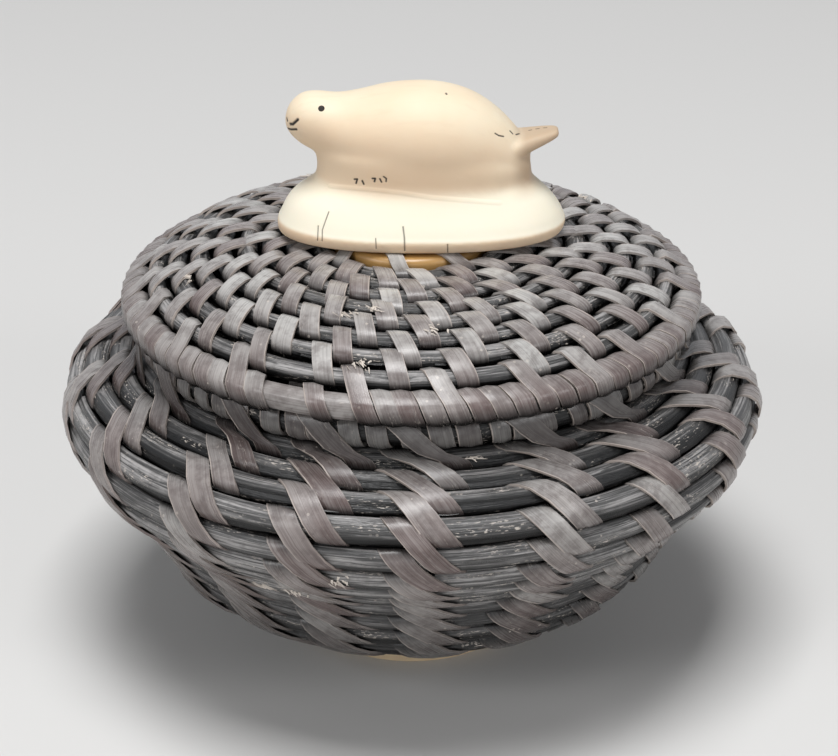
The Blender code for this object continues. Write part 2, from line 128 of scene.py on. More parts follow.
class Coil:
    """Rows of rod laid along a turned profile, which climbs where out_side is 1 and falls at -1."""

    def __init__(self, body, stations, rows, rod_radius, wrap_radius, out_side):
        self.body = body
        self.lengths, self.points = smooth_line(stations)
        self.total = self.lengths[-1]
        self.rows = rows
        self.rod_radius = rod_radius
        self.out_side = out_side
        self.pitch = (self.total - rod_radius - wrap_radius - GAP) / (rows - 1)

    def on_line(self, length):
        return np.stack([np.interp(length, self.lengths, axis) for axis in self.points.T], axis=-1)

    def frame(self, length):
        """Point of the profile at each length, its direction there and its outer normal."""
        inside = np.clip(length, PROFILE_REACH, self.total - PROFILE_REACH)
        along = self.on_line(inside + PROFILE_REACH) - self.on_line(inside - PROFILE_REACH)
        along = along / np.linalg.norm(along, axis=-1, keepdims=True)
        out = self.out_side * np.stack([along[..., 1], -along[..., 0]], axis=-1)
        return self.on_line(inside) + along * (length - inside)[..., None], along, out

    def place(self, length, lift, angle):
        """World points at these lengths along the wall, this far out of it, at these angles."""
        line, _, out = self.frame(length)
        spot = line + out * lift[..., None]
        return round_axis(spot[..., 0], angle, spot[..., 1])

    def rod_line(self, turn):
        """Length along the wall and thickness of the rod after each number of turns."""
        step = stepped_out(turn % 1.0)
        length = self.pitch * (np.floor(turn + 1e-9) + step)
        starting = turn < -1e-9
        ending = turn > self.rows - STEP_SHARE
        room = np.where(starting, step, 1 - step) * self.pitch / 2 - GAP
        thin = np.clip(room, LEAST_ROD_RADIUS, self.rod_radius)
        length = np.where(starting, thin - self.rod_radius, length)
        last = (self.rows - 1) * self.pitch + self.rod_radius - thin
        length = np.where(ending, last, length)
        return length, np.where(starting | ending, thin / self.rod_radius, 1.0)


BODY_COIL = Coil("body", BODY_PROFILE, BODY_ROWS, BODY_ROD_RADIUS, BODY_WRAP_RADIUS, 1)
LID_COIL = Coil("lid", LID_PROFILE, LID_ROWS, LID_ROD_RADIUS, LID_WRAP_RADIUS, -1)


def wander(turn, seed, slowest=0.9, waves=7):
    """Smooth irregular wave, mostly between -1 and 1, that is the same for the same seed."""
    rng = np.random.default_rng(seed)
    total = 0.0
    for k in range(waves):
        total = total + np.sin(math.tau * (slowest * 1.7**k * turn + rng.random())) / 1.2**k
    return total / 2.6


# What the finishes read at each vertex: place in the baleen's grain in millimetres, side from -1 to
# 1 across a strip, a crest that is 1 on top and 0 in the gaps between rows, from which the finishes
# paint shade, and a tone from 0 for grey to 1 for brown baleen, which along a splint also holds
# painted shade.
Marks = namedtuple("Marks", "grain edge crest tone")


def opened(mesh):
    bm = bmesh.new()
    bm.from_mesh(mesh)
    return bm


def written(bm, mesh):
    bm.to_mesh(mesh)
    bm.free()
    return mesh


def mesh_from(bm, name):
    return written(bm, bpy.data.meshes.new(name))


def write_shape(mesh, shape, count=1):
    """Moves the vertices of count equal grids and stores where each lies on its rod or strip."""
    flat = np.empty(len(mesh.vertices) * 3)
    mesh.vertices.foreach_get("co", flat)
    across, along, side = np.moveaxis(flat.reshape(count, -1, 3), -1, 0)
    points, marks = shape(across + 0.5, along + 0.5, side)
    mesh.vertices.foreach_set("co", np.ravel(points).astype(np.float32))
    for name, values in zip(Marks._fields, marks):
        kind, key = ("FLOAT_VECTOR", "vector") if name == "grain" else ("FLOAT", "value")
        layer = mesh.attributes.new(name, kind, "POINT")
        layer.data.foreach_set(key, np.ravel(values).astype(np.float32))


def grid_mesh(name, across, along):
    bm = bmesh.new()
    bmesh.ops.create_grid(bm, x_segments=across, y_segments=along, size=0.5)
    return mesh_from(bm, name)


def tube_mesh(name, sides, steps, shape):
    """Tube: a long grid bent to shape, with its long edges welded and its ends filled."""
    mesh = grid_mesh(name, sides, steps)
    write_shape(mesh, shape)
    bm = opened(mesh)
    bmesh.ops.remove_doubles(bm, verts=bm.verts, dist=WELD)
    bmesh.ops.holes_fill(bm, edges=[edge for edge in bm.edges if edge.is_boundary], sides=0)
    bmesh.ops.recalc_face_normals(bm, faces=bm.faces)
    written(bm, mesh).shade_smooth()
    return mesh


def strip_mesh(name, segments, count, shape):
    """Count flat strips with a thickness, each bent to shape."""
    strip = grid_mesh(f"{name}_strip", 2, segments)
    bm = opened(strip)
    bmesh.ops.solidify(bm, geom=list(bm.faces), thickness=1.0)
    written(bm, strip)
    bm = bmesh.new()
    for _ in range(count):
        bm.from_mesh(strip)
    mesh = mesh_from(bm, name)
    bpy.data.meshes.remove(strip)
    write_shape(mesh, shape, count)
    bm = opened(mesh)
    bmesh.ops.recalc_face_normals(bm, faces=bm.faces)
    written(bm, mesh).shade_smooth()
    mesh.set_sharp_from_angle(angle=STRIP_SHARP)
    return mesh


def placed(name, data):
    made = bpy.data.objects.new(name, data)
    bpy.context.scene.collection.objects.link(made)
    return made


def piece(name, mesh, material, body, slot, *nodes):
    """Puts a mesh into the scene as a piece of the object, in place of the given nodes."""
    made = placed(name, mesh)
    made.data.materials.append(material)
    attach(made, body)
    if nodes:
        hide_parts(*nodes)


# Rods

GRAIN_PER_TURN = 190.0
# Painted light: a body rod's crest is turned this far towards its top, so the painted shade falls
# on its underside.
LIT_TOP_LEAN = 0.6
FIRST_ROW_SHARE = 0.86
FULL_SIZE_ROW = 5.0
RIDGES = (4, 7, 11)
FISSURES = (-0.75, 0.1, 0.8)
FISSURE_WIDTH = 0.17

# Crest angles of a hoop's surface, for painted shade: near its top, so lit, where bare, and low,
# so in painted shade, under wraps.
BARE_ANGLE = 0.4
WRAPPED_ANGLE = 1.9


def slim(coil, row):
    """Share of the full thickness at a row: the body starts with thinner baleen."""
    if coil is not BODY_COIL:
        return 1.0
    return np.interp(row, [0.0, FULL_SIZE_ROW], [FIRST_ROW_SHARE, 1.0])


def rod_section(around, height, depth, groove, seed, turn):
    """Length along the wall and lift of a split rod's surface, with its ridges and fissures."""
    rough = 0.0
    for k in RIDGES:
        rough = rough + 0.3 * np.cos(k * around + 3.0 * wander(turn, seed + k, 1.1)) / k**0.25
    for k, middle in enumerate(FISSURES):
        place = middle + 0.25 * wander(turn, seed + 20 + k, 0.7)
        open_here = np.clip(0.5 + 1.2 * wander(turn, seed + 30 + k, 1.7), 0.0, 1.0)
        away = (around - place + math.pi) % math.tau - math.pi
        rough = rough - 1.3 * open_here * np.exp(-((away / FISSURE_WIDTH) ** 2))
    ripple = 1.0 + groove * rough
    high, deep = soft(np.sin(around), ROD_SQUARENESS), soft(np.cos(around), ROD_SQUARENESS)
    return height * high * ripple, depth * deep * ripple


def rod_marks(turn, around, lift, climb, tone):
    grain = np.stack([turn * GRAIN_PER_TURN + 0 * lift, lift, climb + 5 * np.floor(turn)], axis=-1)
    # The crest, 1 on a rod's outer side and 0 in the gaps, carries painted shade.
    return Marks(grain, np.zeros_like(lift), 0.5 + 0.5 * np.cos(around) + 0 * lift, tone + 0 * lift)


def rod_shape(coil, start, end, size, seed):
    """Shape of one length of a coil's rod between two turns."""
    height, depth, groove, uneven = size

    def shape(across, along, _side):
        turn = start + (end - start) * along
        around = math.tau * across
        length, thin = coil.rod_line(turn)
        thin = thin * slim(coil, turn)
        tall = height * thin * (1.0 + uneven * wander(turn, seed))
        deep = depth * thin * (1.0 + uneven * wander(turn, seed + 1))
        climb, lift = rod_section(around, tall, deep, groove, seed + 2, turn)
        length = length + climb + 0.07 * wander(turn, seed + 3)
        lift = lift + 0.06 * wander(turn, seed + 4)
        points = coil.place(length, lift, STEP_END_ANGLE + math.tau * turn)
        # Painted light from above: the crest leans to the rod's top.
        above = around - LIT_TOP_LEAN * max(coil.out_side, 0)
        return points, rod_marks(turn, above, lift, climb, 0.5 + 0.4 * wander(turn, seed + 5, 0.3))

    return shape


def lay_rods(coil, lengths, height, depth, settings, sides, seed):
    """The rods of a coil, in the lengths that they are spliced from."""
    size = (height / MM / 2, depth / MM / 2, settings.rod_groove, settings.rod_uneven)
    start = -STEP_SHARE / 2
    for node, end in lengths.items():
        end = coil.rows - STEP_SHARE / 2 if end is None else end
        steps = round((end - start) * STEPS_PER_TURN)
        mesh = tube_mesh(f"{node}_split", sides, steps, rod_shape(coil, start, end, size, seed))
        piece(mesh.name, mesh, baleen_finish(False), coil.body, "baleen_rod", node)
        start = end


def flange_shape(across, along, _side):
    """Two turns of rod under the lid."""
    turn = FLANGE_TURNS * along
    around = math.tau * across
    grow = 1.0 + 0.04 * wander(turn, 71)
    out = FLANGE_ROD_RADIUS * soft(np.cos(around)) * grow
    up = FLANGE_ROD_RADIUS * soft(np.sin(around)) * grow
    height = FLANGE_TOP_HEIGHT - FLANGE_RISE * turn + up
    points = round_axis(FLANGE_RADIUS + out, STEP_END_ANGLE + math.tau * turn, height)
    return points, rod_marks(turn, around, out, up, 0.4)


def hoop_shape(coil, section, seed, bare=(0.0, 0.0)):
    """Closed hoop of this (length, lift) section, with painted shade under wraps outside the bare
    angles.
    """
    section = np.array(section)

    def shape(across, turn, _side):
        k = np.rint(across * (len(section) - 1)).astype(int)
        wave = 0.04 * np.sin(9 * math.tau * across + 3 * wander(turn, seed, slowest=1.0, waves=3))
        wave = wave * np.sin(math.pi * turn) ** 0.2
        length = coil.total + section[k, 0] * (1 + wave)
        lift = section[k, 1] * (1 + wave)
        degrees = (360 * turn + 180) % 360 - 180
        around = np.where((degrees > bare[0]) & (degrees < bare[1]), BARE_ANGLE, WRAPPED_ANGLE)
        points = coil.place(length, lift, math.tau * turn)
        return points, rod_marks(turn, around, lift, section[k, 0], 0.5)

    return shape


# Splints

OVER_TWO = (116, 96, 76, 57, 38, 19, 0, -19, -38, -57, -76, -96, -116)
THROUGH = (112, 80, 50, 22, 0, -22, -50, -80, -112)
DOWN_OVER = (-5, -28, -50, -70, -92, -115)
ARCH = 0.1
SQUEEZE = 0.03
OUTER_LIFT = 0.27
INNER_LIFT = 0.25
FRAY_LIFT = 0.62
WRAP_CROWN = 2.8
# Painted shade: how much browner and darker a strip grows along its length.
END_SHADE = 1.0
LATE_ROW = 0.4
HOOP_STITCH = 2.02
BODY_FIRST_COLUMN = math.radians(-91)
BODY_INNER_ROWS = 4
BODY_WRAPS = 63
BODY_WRAP_WIDTH = 2.4
BODY_WRAP_INSET = 0.2
BODY_WRAP_TURNS = np.linspace(-105, 245, 15)
BODY_WRAP_SLOPE = -0.22
INNER_STITCH_WIDTH = 2.9
INNER_STITCH_SLOPE = 1.15
INNER_STITCH_RUN = 3.6

# line holds (length, lift, share of the coil's step); a strip's slope is its run round the basket
# for each unit that it climbs or, where wound is 1, for each unit that it runs round a hoop.
Strip = namedtuple("Strip", "line angle width slope tone taper wound", defaults=(0.0, 0.0))


def over(centre, half_height, half_depth, turns, follows=1.0):
    """Strip's line over one rod: (length, lift, share of the coil's step) at these angles."""
    turns = np.radians(turns)
    length = centre + half_height * soft(np.sin(turns))
    lift = half_depth * soft(np.cos(turns))
    return np.stack([length, lift, np.full_like(turns, follows)], axis=-1)


def strip_shape(coil, strips, thickness, crown, pale_edge_side):
    """Shape of many strips, each along its own line over the rods."""
    lines = np.array([strip.line for strip in strips])
    flat = lines[..., :2]
    tangent = np.gradient(flat, axis=1)
    tangent /= np.linalg.norm(tangent, axis=-1, keepdims=True)
    normal = np.stack([-tangent[..., 1], tangent[..., 0]], axis=-1)
    from_middle = flat - flat.mean(axis=1, keepdims=True)
    facing = np.sign((normal * from_middle).sum(axis=(1, 2)))
    normal *= facing[:, None, None]
    run = np.zeros(lines.shape[:2])
    run[:, 1:] = np.cumsum(np.linalg.norm(np.diff(flat, axis=1), axis=-1), axis=1)
    run -= run[:, -1:] / 2
    angle, width, slope, tone, taper, wound = (
        np.array([getattr(strip, field) for strip in strips])[:, None]
        for field in Strip._fields[1:]
    )
    climb = lines[..., 0] - lines[..., 0].mean(axis=1, keepdims=True)
    climb *= np.sign(climb[:, -1:] - climb[:, :1])
    travel = wound * run + (1 - wound) * climb
    # Crest for painted shade: 1 where a strip stands furthest out, 0 where it dives into a gap.
    top = lines[..., 1] * np.where(lines[..., 1].mean(axis=1) < -0.5, -1, 1)[:, None]
    top = top - top.min(axis=1, keepdims=True)
    top = top / top.max(axis=1, keepdims=True)
    rng = np.random.default_rng(len(strips))
    offset = rng.uniform(0, 400, angle.shape)
    phase = rng.uniform(0, math.tau, angle.shape)

    def shape(across, along, side):
        at = np.arange(len(strips))[:, None], np.rint(along * (lines.shape[1] - 1)).astype(int)
        out = thickness * (side + 0.5) + crown * (1 - (2 * across - 1) ** 2)
        out = out * (1 - taper * along)
        wide = width * (1 + 0.035 * np.sin(phase + 4 * along)) * (1 - taper * along**2)
        drift = slope * travel[at] + (across - 0.5) * wide
        drift = drift + 0.05 * np.sin(2 * phase + 5 * along)
        length = lines[(*at, 0)] + normal[(*at, 0)] * out
        lift = lines[(*at, 1)] + normal[(*at, 1)] * out
        turned = angle + drift / coil.frame(length)[0][..., 0]
        share = share_of_turn(angle) + (turned - angle) / math.tau
        length = length + coil.pitch * stepped_out(share) * lines[(*at, 2)]
        grain = np.stack([run[at] + offset, (across - 0.5) * wide + phase, side], axis=-1)
        # Painted shade: each strip's tone grows browner and darker towards its end.
        end_shaded_tone = np.clip(tone + END_SHADE * (along - 0.45), 0.0, 1.0)
        end_shaded_tone = np.where(tone > 1.0, tone, end_shaded_tone)
        marks = Marks(grain, pale_edge_side * (2 * across - 1), top[at], end_shaded_tone)
        return coil.place(length, lift, turned), marks

    return shape


def lay_strips(name, coil, strips, settings, pale_edge_side=-1, nodes=(), thickness=None):
    """One piece from strips whose lines have the same number of points."""
    crown = settings.crown / MM * (WRAP_CROWN if strips[0].wound else 1.0)
    shape = strip_shape(coil, strips, thickness or settings.thickness / MM, crown, pale_edge_side)
    mesh = strip_mesh(name, len(strips[0].line) - 1, len(strips), shape)
    piece(name, mesh, baleen_finish(True), coil.body, "baleen_splint", *nodes)


def radius_at(coil, row):
    return float(coil.on_line(np.array(coil.pitch * row))[0])


def is_late(angle):
    """Whether a column lies where the rows have already stepped out."""
    return stepped_out(share_of_turn(angle)) > LATE_ROW


def jitter(rng, amount):
    return float(rng.normal(0.0, amount))


def stitch_line(coil, first, second, height, depth):
    """Line of a stitch arched over two neighbouring rows, from beyond one to beyond the other."""
    side = 1 if first > second else -1
    middle = coil.pitch * (first + second) / 2
    return over(middle, coil.pitch / 2 + height, depth + ARCH, [side * a for a in OVER_TWO])


def half_rod(height, depth, lift):
    """Half sizes of the oval that a stitch follows round a rod."""
    return height / MM / 2 - SQUEEZE, depth / MM / 2 + lift


def body_columns(settings):
    """Angle and lowest row of the body's columns of stitches, of which every second ends early."""
    for column in range(settings.body_columns):
        angle = BODY_FIRST_COLUMN + math.tau * column / settings.body_columns
        yield angle, 0 if column % 2 == 0 else BODY_INNER_ROWS


def body_stitches(settings):
    """Outer stitches of the body. Each runs down and round, from over one row to over the next."""
    rng = np.random.default_rng(5)
    coil = BODY_COIL
    width = settings.body_width / MM * math.hypot(1, settings.body_slope)
    height, depth = half_rod(settings.body_rod_height, settings.body_rod_depth, OUTER_LIFT)
    strips = []

    def lay(line, row, angle, tone):
        half_climb = abs(line[-1, 0] - line[0, 0]) / 2
        slope = settings.body_slope * (1 + jitter(rng, 0.04))
        angle += (slope * half_climb + jitter(rng, 0.22)) / radius_at(coil, max(row - 0.5, 0))
        strips.append(Strip(line, angle, width * (1 + jitter(rng, 0.04)), slope, tone))

    for angle, lowest in body_columns(settings):
        angle += math.radians(jitter(rng, 0.7))
        lean = jitter(rng, 0.04)
        late = is_late(angle)
        for row in range(coil.rows, lowest, -1):
            tone = rng.uniform(0.35, 1.0)
            if row == coil.rows:
                line = hoop_to_row(coil, row - 1 - late, height, depth, float(late))
                # Painted shade: the top stitches under the lid's rim take darker, browner tones.
                tone = rng.uniform(0.55, 1.0)
            elif row == coil.rows - 1 and late:
                continue
            else:
                share = slim(coil, row - 1)
                arch = depth * share + jitter(rng, 0.03)
                line = stitch_line(coil, row, row - 1, height * share, arch)
            lay(line, row, angle + lean * (row / coil.rows - 0.5), tone)
        if lowest == 0:
            line = row_to_base(coil, height * FIRST_ROW_SHARE, depth * FIRST_ROW_SHARE)
            lay(line, 0, angle - lean / 2, 0.4)
    return strips


def hoop_to_row(coil, row, height, depth, follows):
    """Line from over the body's wrapped hoop down over the top row."""
    turns = (64, 46, 30, 14, -2, -18)
    start = over(coil.total, HOOP_STITCH, HOOP_STITCH, turns, follows=0.0)
    end = over(coil.pitch * row, height, depth, DOWN_OVER, follows)
    return np.vstack([start, (start[-1] + end[0]) / 2, end])


def row_to_base(coil, height, depth):
    """Line from over the first row into the side of the base disc."""
    start = over(0.0, height, depth, (114, 90, 68, 46, 24, 6, -12))
    into_disc = [(-1.0, 1.15, 0.6), (-1.7, 1.0, 0.3), (-2.2, 0.9, 0.0)]
    into_disc += [(-2.7, 0.8, 0.0), (-3.1, 0.65, 0.0), (-3.5, 0.5, 0.0)]
    return np.vstack([start, into_disc])


def body_inner_stitches(settings):
    """Inner stitches of the body. Each comes back up behind one row to the next one's start."""
    rng = np.random.default_rng(6)
    coil = BODY_COIL
    height, depth = half_rod(settings.body_rod_height, settings.body_rod_depth, INNER_LIFT)
    strips = []
    for angle, lowest in body_columns(settings):
        for row in range(coil.rows - 2, lowest - 1, -1):
            line = over(coil.pitch * row, height, -depth, THROUGH)
            middle = angle + INNER_STITCH_RUN / radius_at(coil, row) + jitter(rng, 0.006)
            tone = rng.uniform(0.1, 0.8)
            strips.append(Strip(line, middle, INNER_STITCH_WIDTH, INNER_STITCH_SLOPE, tone))
    return strips


def body_wraps():
    """Loose wraps round the body's rim hoop."""
    rng = np.random.default_rng(7)
    radius = BODY_WRAP_RADIUS - BODY_WRAP_INSET
    line = over(BODY_COIL.total, radius, radius, BODY_WRAP_TURNS, follows=0.0)
    strips = []
    for i in range(BODY_WRAPS):
        angle = math.tau * (i + jitter(rng, 0.12)) / BODY_WRAPS
        wide = BODY_WRAP_WIDTH * (1 + jitter(rng, 0.09))
        lean = BODY_WRAP_SLOPE + jitter(rng, 0.05)
        # Painted shade: the rim wraps under the lid's rim take darker, browner tones.
        strips.append(Strip(line, angle, wide, lean, rng.uniform(0.4, 1.0), wound=1.0))
    return strips


# Lid rim: outer corners of the wraps from the gap inside the hoop, over it and under, as (out, up)
# from the hoop's centre.
LID_RIM_OVER = [
    (-0.15, 1.72), (0.62, 1.42), (1.38, 0.98), (1.70, 0.62), (1.74, -0.1),
    (1.70, -0.95), (1.35, -1.5), (0.5, -1.72), (-0.6, -1.6), (-1.3, -1.0),
]
RIM_CORNER = 3 - len(LID_RIM_OVER)
LID_WRAPS = 84
WRAPS_PER_COLUMN = 3.5
LID_INNER_ROWS = 3
LID_INNER_COLUMNS = 18
LID_FIRST_COLUMN = math.radians(-52.0)
LID_INNER_FIRST_COLUMN = math.radians(-64.5)
LID_SET_BACK = 1.55
LID_START_SHARE = 0.86
LID_INNER_SHARE = 0.95
LID_INNER_SLOPE = 0.75
LID_INNER_RUN = 0.8
WRAP_COVER = 0.9
BARE_WRAPS = ((-119.5, -111.5), (-108.0, -99.5))


def rim_line(points):
    """(length, lift, step share) of points that are (out, up) from the lid hoop's centre."""
    _, along, out = LID_COIL.frame(np.array(LID_COIL.total))
    points = np.array(points)
    return np.stack([LID_COIL.total + points @ along, points @ out, np.zeros(len(points))], axis=-1)


def lid_angles(settings, row):
    """Angles of a lid row's stitches. Each sits beside the one that it grows out of."""
    inner = row < LID_INNER_ROWS
    columns = LID_INNER_COLUMNS if inner else settings.lid_columns
    first = LID_INNER_FIRST_COLUMN if inner else LID_FIRST_COLUMN
    set_back = sum(LID_SET_BACK / radius_at(LID_COIL, done + 0.5) for done in range(row))
    return [first + math.tau * column / columns - set_back for column in range(columns)]


def lid_measures(settings):
    width = settings.lid_width / MM * math.hypot(1, settings.lid_slope)
    return *half_rod(settings.lid_rod_height, settings.lid_rod_depth, OUTER_LIFT), width


def lid_stitches(settings):
    """Outer stitches of the lid, from its disc, where every second one starts, to its last row."""
    rng = np.random.default_rng(8)
    coil = LID_COIL
    height, depth, width = lid_measures(settings)
    strips = []
    for row in range(-1, coil.rows - 1):
        starts = row < 0
        for column, angle in enumerate(lid_angles(settings, row)):
            if (starts and column % 2) or (row == coil.rows - 2 and is_late(angle)):
                continue
            if starts:
                angle += LID_SET_BACK / radius_at(coil, 0)
                line = disc_to_row(height, depth)
            else:
                line = stitch_line(coil, row, row + 1, height, depth + jitter(rng, 0.04))
            angle += jitter(rng, 0.16) / radius_at(coil, row + 0.5)
            slope = settings.lid_slope * (1 + jitter(rng, 0.15))
            wide = width * (1 + jitter(rng, 0.045)) * (LID_START_SHARE if starts else 1.0)
            strips.append(Strip(line, angle, wide, slope, rng.uniform(0.0, 0.75)))
    return strips


def disc_to_row(height, depth):
    """Line out of a hole of the lid's disc, over the disc's edge and over the first row."""
    from_disc = [(-3.45, 0.6, 0.0), (-3.4, 1.9, 0.0), (-3.0, 2.22, 0.0)]
    from_disc += [(-2.2, 2.22, 0.0), (-1.5, 2.0, 0.2), (-0.8, 1.72, 0.6)]
    return np.vstack([from_disc, over(0.0, height, depth, (0, 20, 40, 60, 80, 98, 115))])


def corner_run(line):
    """How far past its middle a wrap's line comes to the rim's outer corner."""
    run = np.linalg.norm(np.diff(line[:, :2], axis=0), axis=1)
    return run[:RIM_CORNER].sum() - run.sum() / 2


def lid_rim_wraps(settings):
    """Wraps round the lid's hoop. Those of a stitch column start a row further in."""
    rng = np.random.default_rng(9)
    coil = LID_COIL
    height, depth, _ = lid_measures(settings)
    hoop = np.array([coil.total, 0.0, 0.0])
    out_of_gap = hoop + [(-1.78, -0.7, 0.0), (-1.7, 0.4, 0.0), (-1.5, 1.05, 0.0)]
    short_line = np.vstack([out_of_gap, rim_line(LID_RIM_OVER)])
    last_row = over(coil.pitch * (coil.rows - 1), height, depth, (-115, -60, -15, 15), follows=0.0)
    across_gap = hoop + [(-2.1, 1.46, 0.0), (-1.2, 1.45, 0.0)]
    long_line = np.vstack([last_row, across_gap, rim_line(LID_RIM_OVER)[1:]])
    step = math.tau / LID_WRAPS
    rim_radius = LID_PROFILE[-1][0] + LID_WRAP_RADIUS
    beside = settings.lid_slope * (corner_run(long_line) - corner_run(short_line)) / rim_radius
    first = lid_angles(settings, coil.rows - 1)[0]
    long_ones = {round(WRAPS_PER_COLUMN * column) for column in range(settings.lid_columns)}
    longs, shorts = [], []
    for i in range(LID_WRAPS):
        angle = first + step * (i + jitter(rng, 0.02))
        degrees = (math.degrees(angle) + 180) % 360 - 180
        tone = rng.uniform(0.5, 1.0)
        wide = step * rim_radius * (WRAP_COVER + jitter(rng, 0.02))
        slope = settings.lid_slope + jitter(rng, 0.015)
        if any(low < degrees < high for low, high in BARE_WRAPS):
            continue
        if i in long_ones:
            longs.append(Strip(long_line, angle, wide, slope, tone, wound=1.0))
        else:
            shorts.append(Strip(short_line, angle + beside, wide, slope, tone, wound=1.0))
    return longs, shorts


def lid_inner_stitches(settings):
    """Stitches under the lid. Each comes back behind one row."""
    rng = np.random.default_rng(10)
    coil = LID_COIL
    height, depth, width = lid_measures(settings)
    strips = []
    for row in range(coil.rows - 1):
        line = over(coil.pitch * row, height, -depth, THROUGH)
        for angle in lid_angles(settings, row):
            angle -= LID_INNER_RUN / radius_at(coil, row)
            tone = rng.uniform(0.0, 0.75)
            strips.append(Strip(line, angle, width * LID_INNER_SHARE, LID_INNER_SLOPE, tone))
    return strips


FLANGE_STITCHES = 24
FLANGE_STITCH_WIDTH = 2.3
FLANGE_STITCH_SWAY = 1.3


def flange_stitch_shape(across, along, side):
    """Upright loops that bind the two turns under the lid."""
    rng = np.random.default_rng(12)
    loops = np.arange(FLANGE_STITCHES)[:, None]
    angle = math.tau * (loops + rng.normal(0, 0.08, loops.shape)) / FLANGE_STITCHES
    around = math.tau * along + math.pi / 2
    out = FLANGE_ROD_RADIUS + 0.05 + 0.3 * (side + 1.0)
    middle = FLANGE_TOP_HEIGHT - FLANGE_RISE * (share_of_turn(angle) + 0.5)
    half_way = FLANGE_RISE / 2 * np.sign(np.round(np.sin(around), 6))
    height = middle + out * soft(np.sin(around)) + half_way
    aside = (across - 0.5) * FLANGE_STITCH_WIDTH
    turned = angle + (aside + FLANGE_STITCH_SWAY * np.cos(around)) / FLANGE_RADIUS
    points = round_axis(FLANGE_RADIUS + out * soft(np.cos(around)), turned, height)
    grain = np.stack([along * 12 + 30 * angle, aside, side], axis=-1)
    return points, Marks(grain, 2 * across - 1, 0.8 + 0 * along, 0.5 + 0 * along)


# Frayed places: (angle in degrees, row) where splints have split, as the photograph shows.
BODY_FRAYED = [
    (-109.5, 10.0), (-101, 11.4), (-148, 4.9), (-114.5, 10.1), (-78, 15.8), (20, 12), (75, 14),
]
LID_FRAYED = [
    (-84.5, 4.8), (-100.5, 6.6), (-107.5, 4.1), (-100.5, 3.7), (35, 5.2), (120, 4.1), (-160, 5.6),
]
FRAYS_EACH = 14
FRAY_TONE = 2.0
FRAY_THICKNESS = 0.1
FRAY_CURL = (-0.12, -0.02, 0.03, 0.08, 0.14)


def lay_frays(name, coil, places, rod_depth, settings, seed):
    """Short slivers that stand a little off the splints."""
    rng = np.random.default_rng(seed)
    strips = []
    for degrees, row in places:
        lean = rng.normal(0.7, 0.5)
        for _ in range(FRAYS_EACH):
            start = coil.pitch * row + rng.normal(0, 0.35)
            angle = math.radians(degrees) + rng.normal(0, 0.6) / radius_at(coil, row)
            reach = rng.uniform(0.2, 0.9)
            lift = rod_depth / MM / 2 + FRAY_LIFT + np.array(FRAY_CURL) * rng.uniform(0.3, 1.6)
            length = start - coil.out_side * reach * np.linspace(0, 1, len(lift))
            line = np.stack([length, lift, np.ones(len(lift))], axis=-1)
            width, slope = rng.uniform(0.06, 0.3), rng.normal(lean, 0.5)
            strips.append(Strip(line, angle, width, slope, FRAY_TONE, 0.8))
    lay_strips(name, coil, strips, settings, thickness=FRAY_THICKNESS)


# Starting discs

BASE_DISC = {"radius": 14.2, "bottom": 0.0, "top": 4.4}
LID_DISC = {"radius": 10.2, "bottom": 51.7, "top": 55.2}
LOW_EDGE = 0.25
HIGH_EDGE = 0.9
EDGE_STEPS = 5
DISC_STEPS = 96
STITCH_HOLES = 9
STITCH_HOLE_RADIUS = 0.7
STITCH_HOLE_INSET = 1.8
PEG_BORE = 1.9
DRILL_LENGTH = 12
DRILL_SIDES = 20
DISC_SHARP = math.radians(40)


def spun(outline, steps):
    """Closed solid from a (radius, height) outline that is spun round Z."""
    bm = bmesh.new()
    verts = [bm.verts.new((radius * MM, 0.0, height * MM)) for radius, height in outline]
    edges = [bm.edges.new(pair) for pair in zip(verts, verts[1:])]
    turn = {"cent": (0, 0, 0), "axis": (0, 0, 1), "angle": math.tau, "steps": steps}
    bmesh.ops.spin(bm, geom=verts + edges, use_merge=True, **turn)
    bmesh.ops.remove_doubles(bm, verts=bm.verts, dist=WELD)
    bmesh.ops.recalc_face_normals(bm, faces=bm.faces)
    return bm


def rounded_outline(radius, bottom, top):
    """Outline of a disc from its underside's centre to its top's, with rounded edges."""
    turns = [math.pi / 2 * k / EDGE_STEPS for k in range(EDGE_STEPS + 1)]
    points = [(0.0, bottom), (radius * 0.5, bottom)]
    for turn in turns:
        out = radius - LOW_EDGE + LOW_EDGE * math.sin(turn)
        points.append((out, bottom + LOW_EDGE * (1 - math.cos(turn))))
    for turn in turns:
        out = radius - HIGH_EDGE + HIGH_EDGE * math.cos(turn)
        points.append((out, top - HIGH_EDGE * (1 - math.sin(turn))))
    return [*points, (radius * 0.5, top), (0.0, top)]


def cylinder(bm, segments, radius, depth, matrix):
    """Closed cylinder, with its radius and depth in millimetres."""
    sizes = {"radius1": radius * MM, "radius2": radius * MM, "depth": depth * MM}
    bmesh.ops.create_cone(bm, cap_ends=True, segments=segments, matrix=matrix, **sizes)


def applied(made):
    """The object's mesh with its modifiers applied; the object itself is removed."""
    graph = bpy.context.evaluated_depsgraph_get()
    mesh = bpy.data.meshes.new_from_object(made.evaluated_get(graph), depsgraph=graph)
    name = made.data.name
    bpy.data.objects.remove(made)
    mesh.name = name
    return mesh


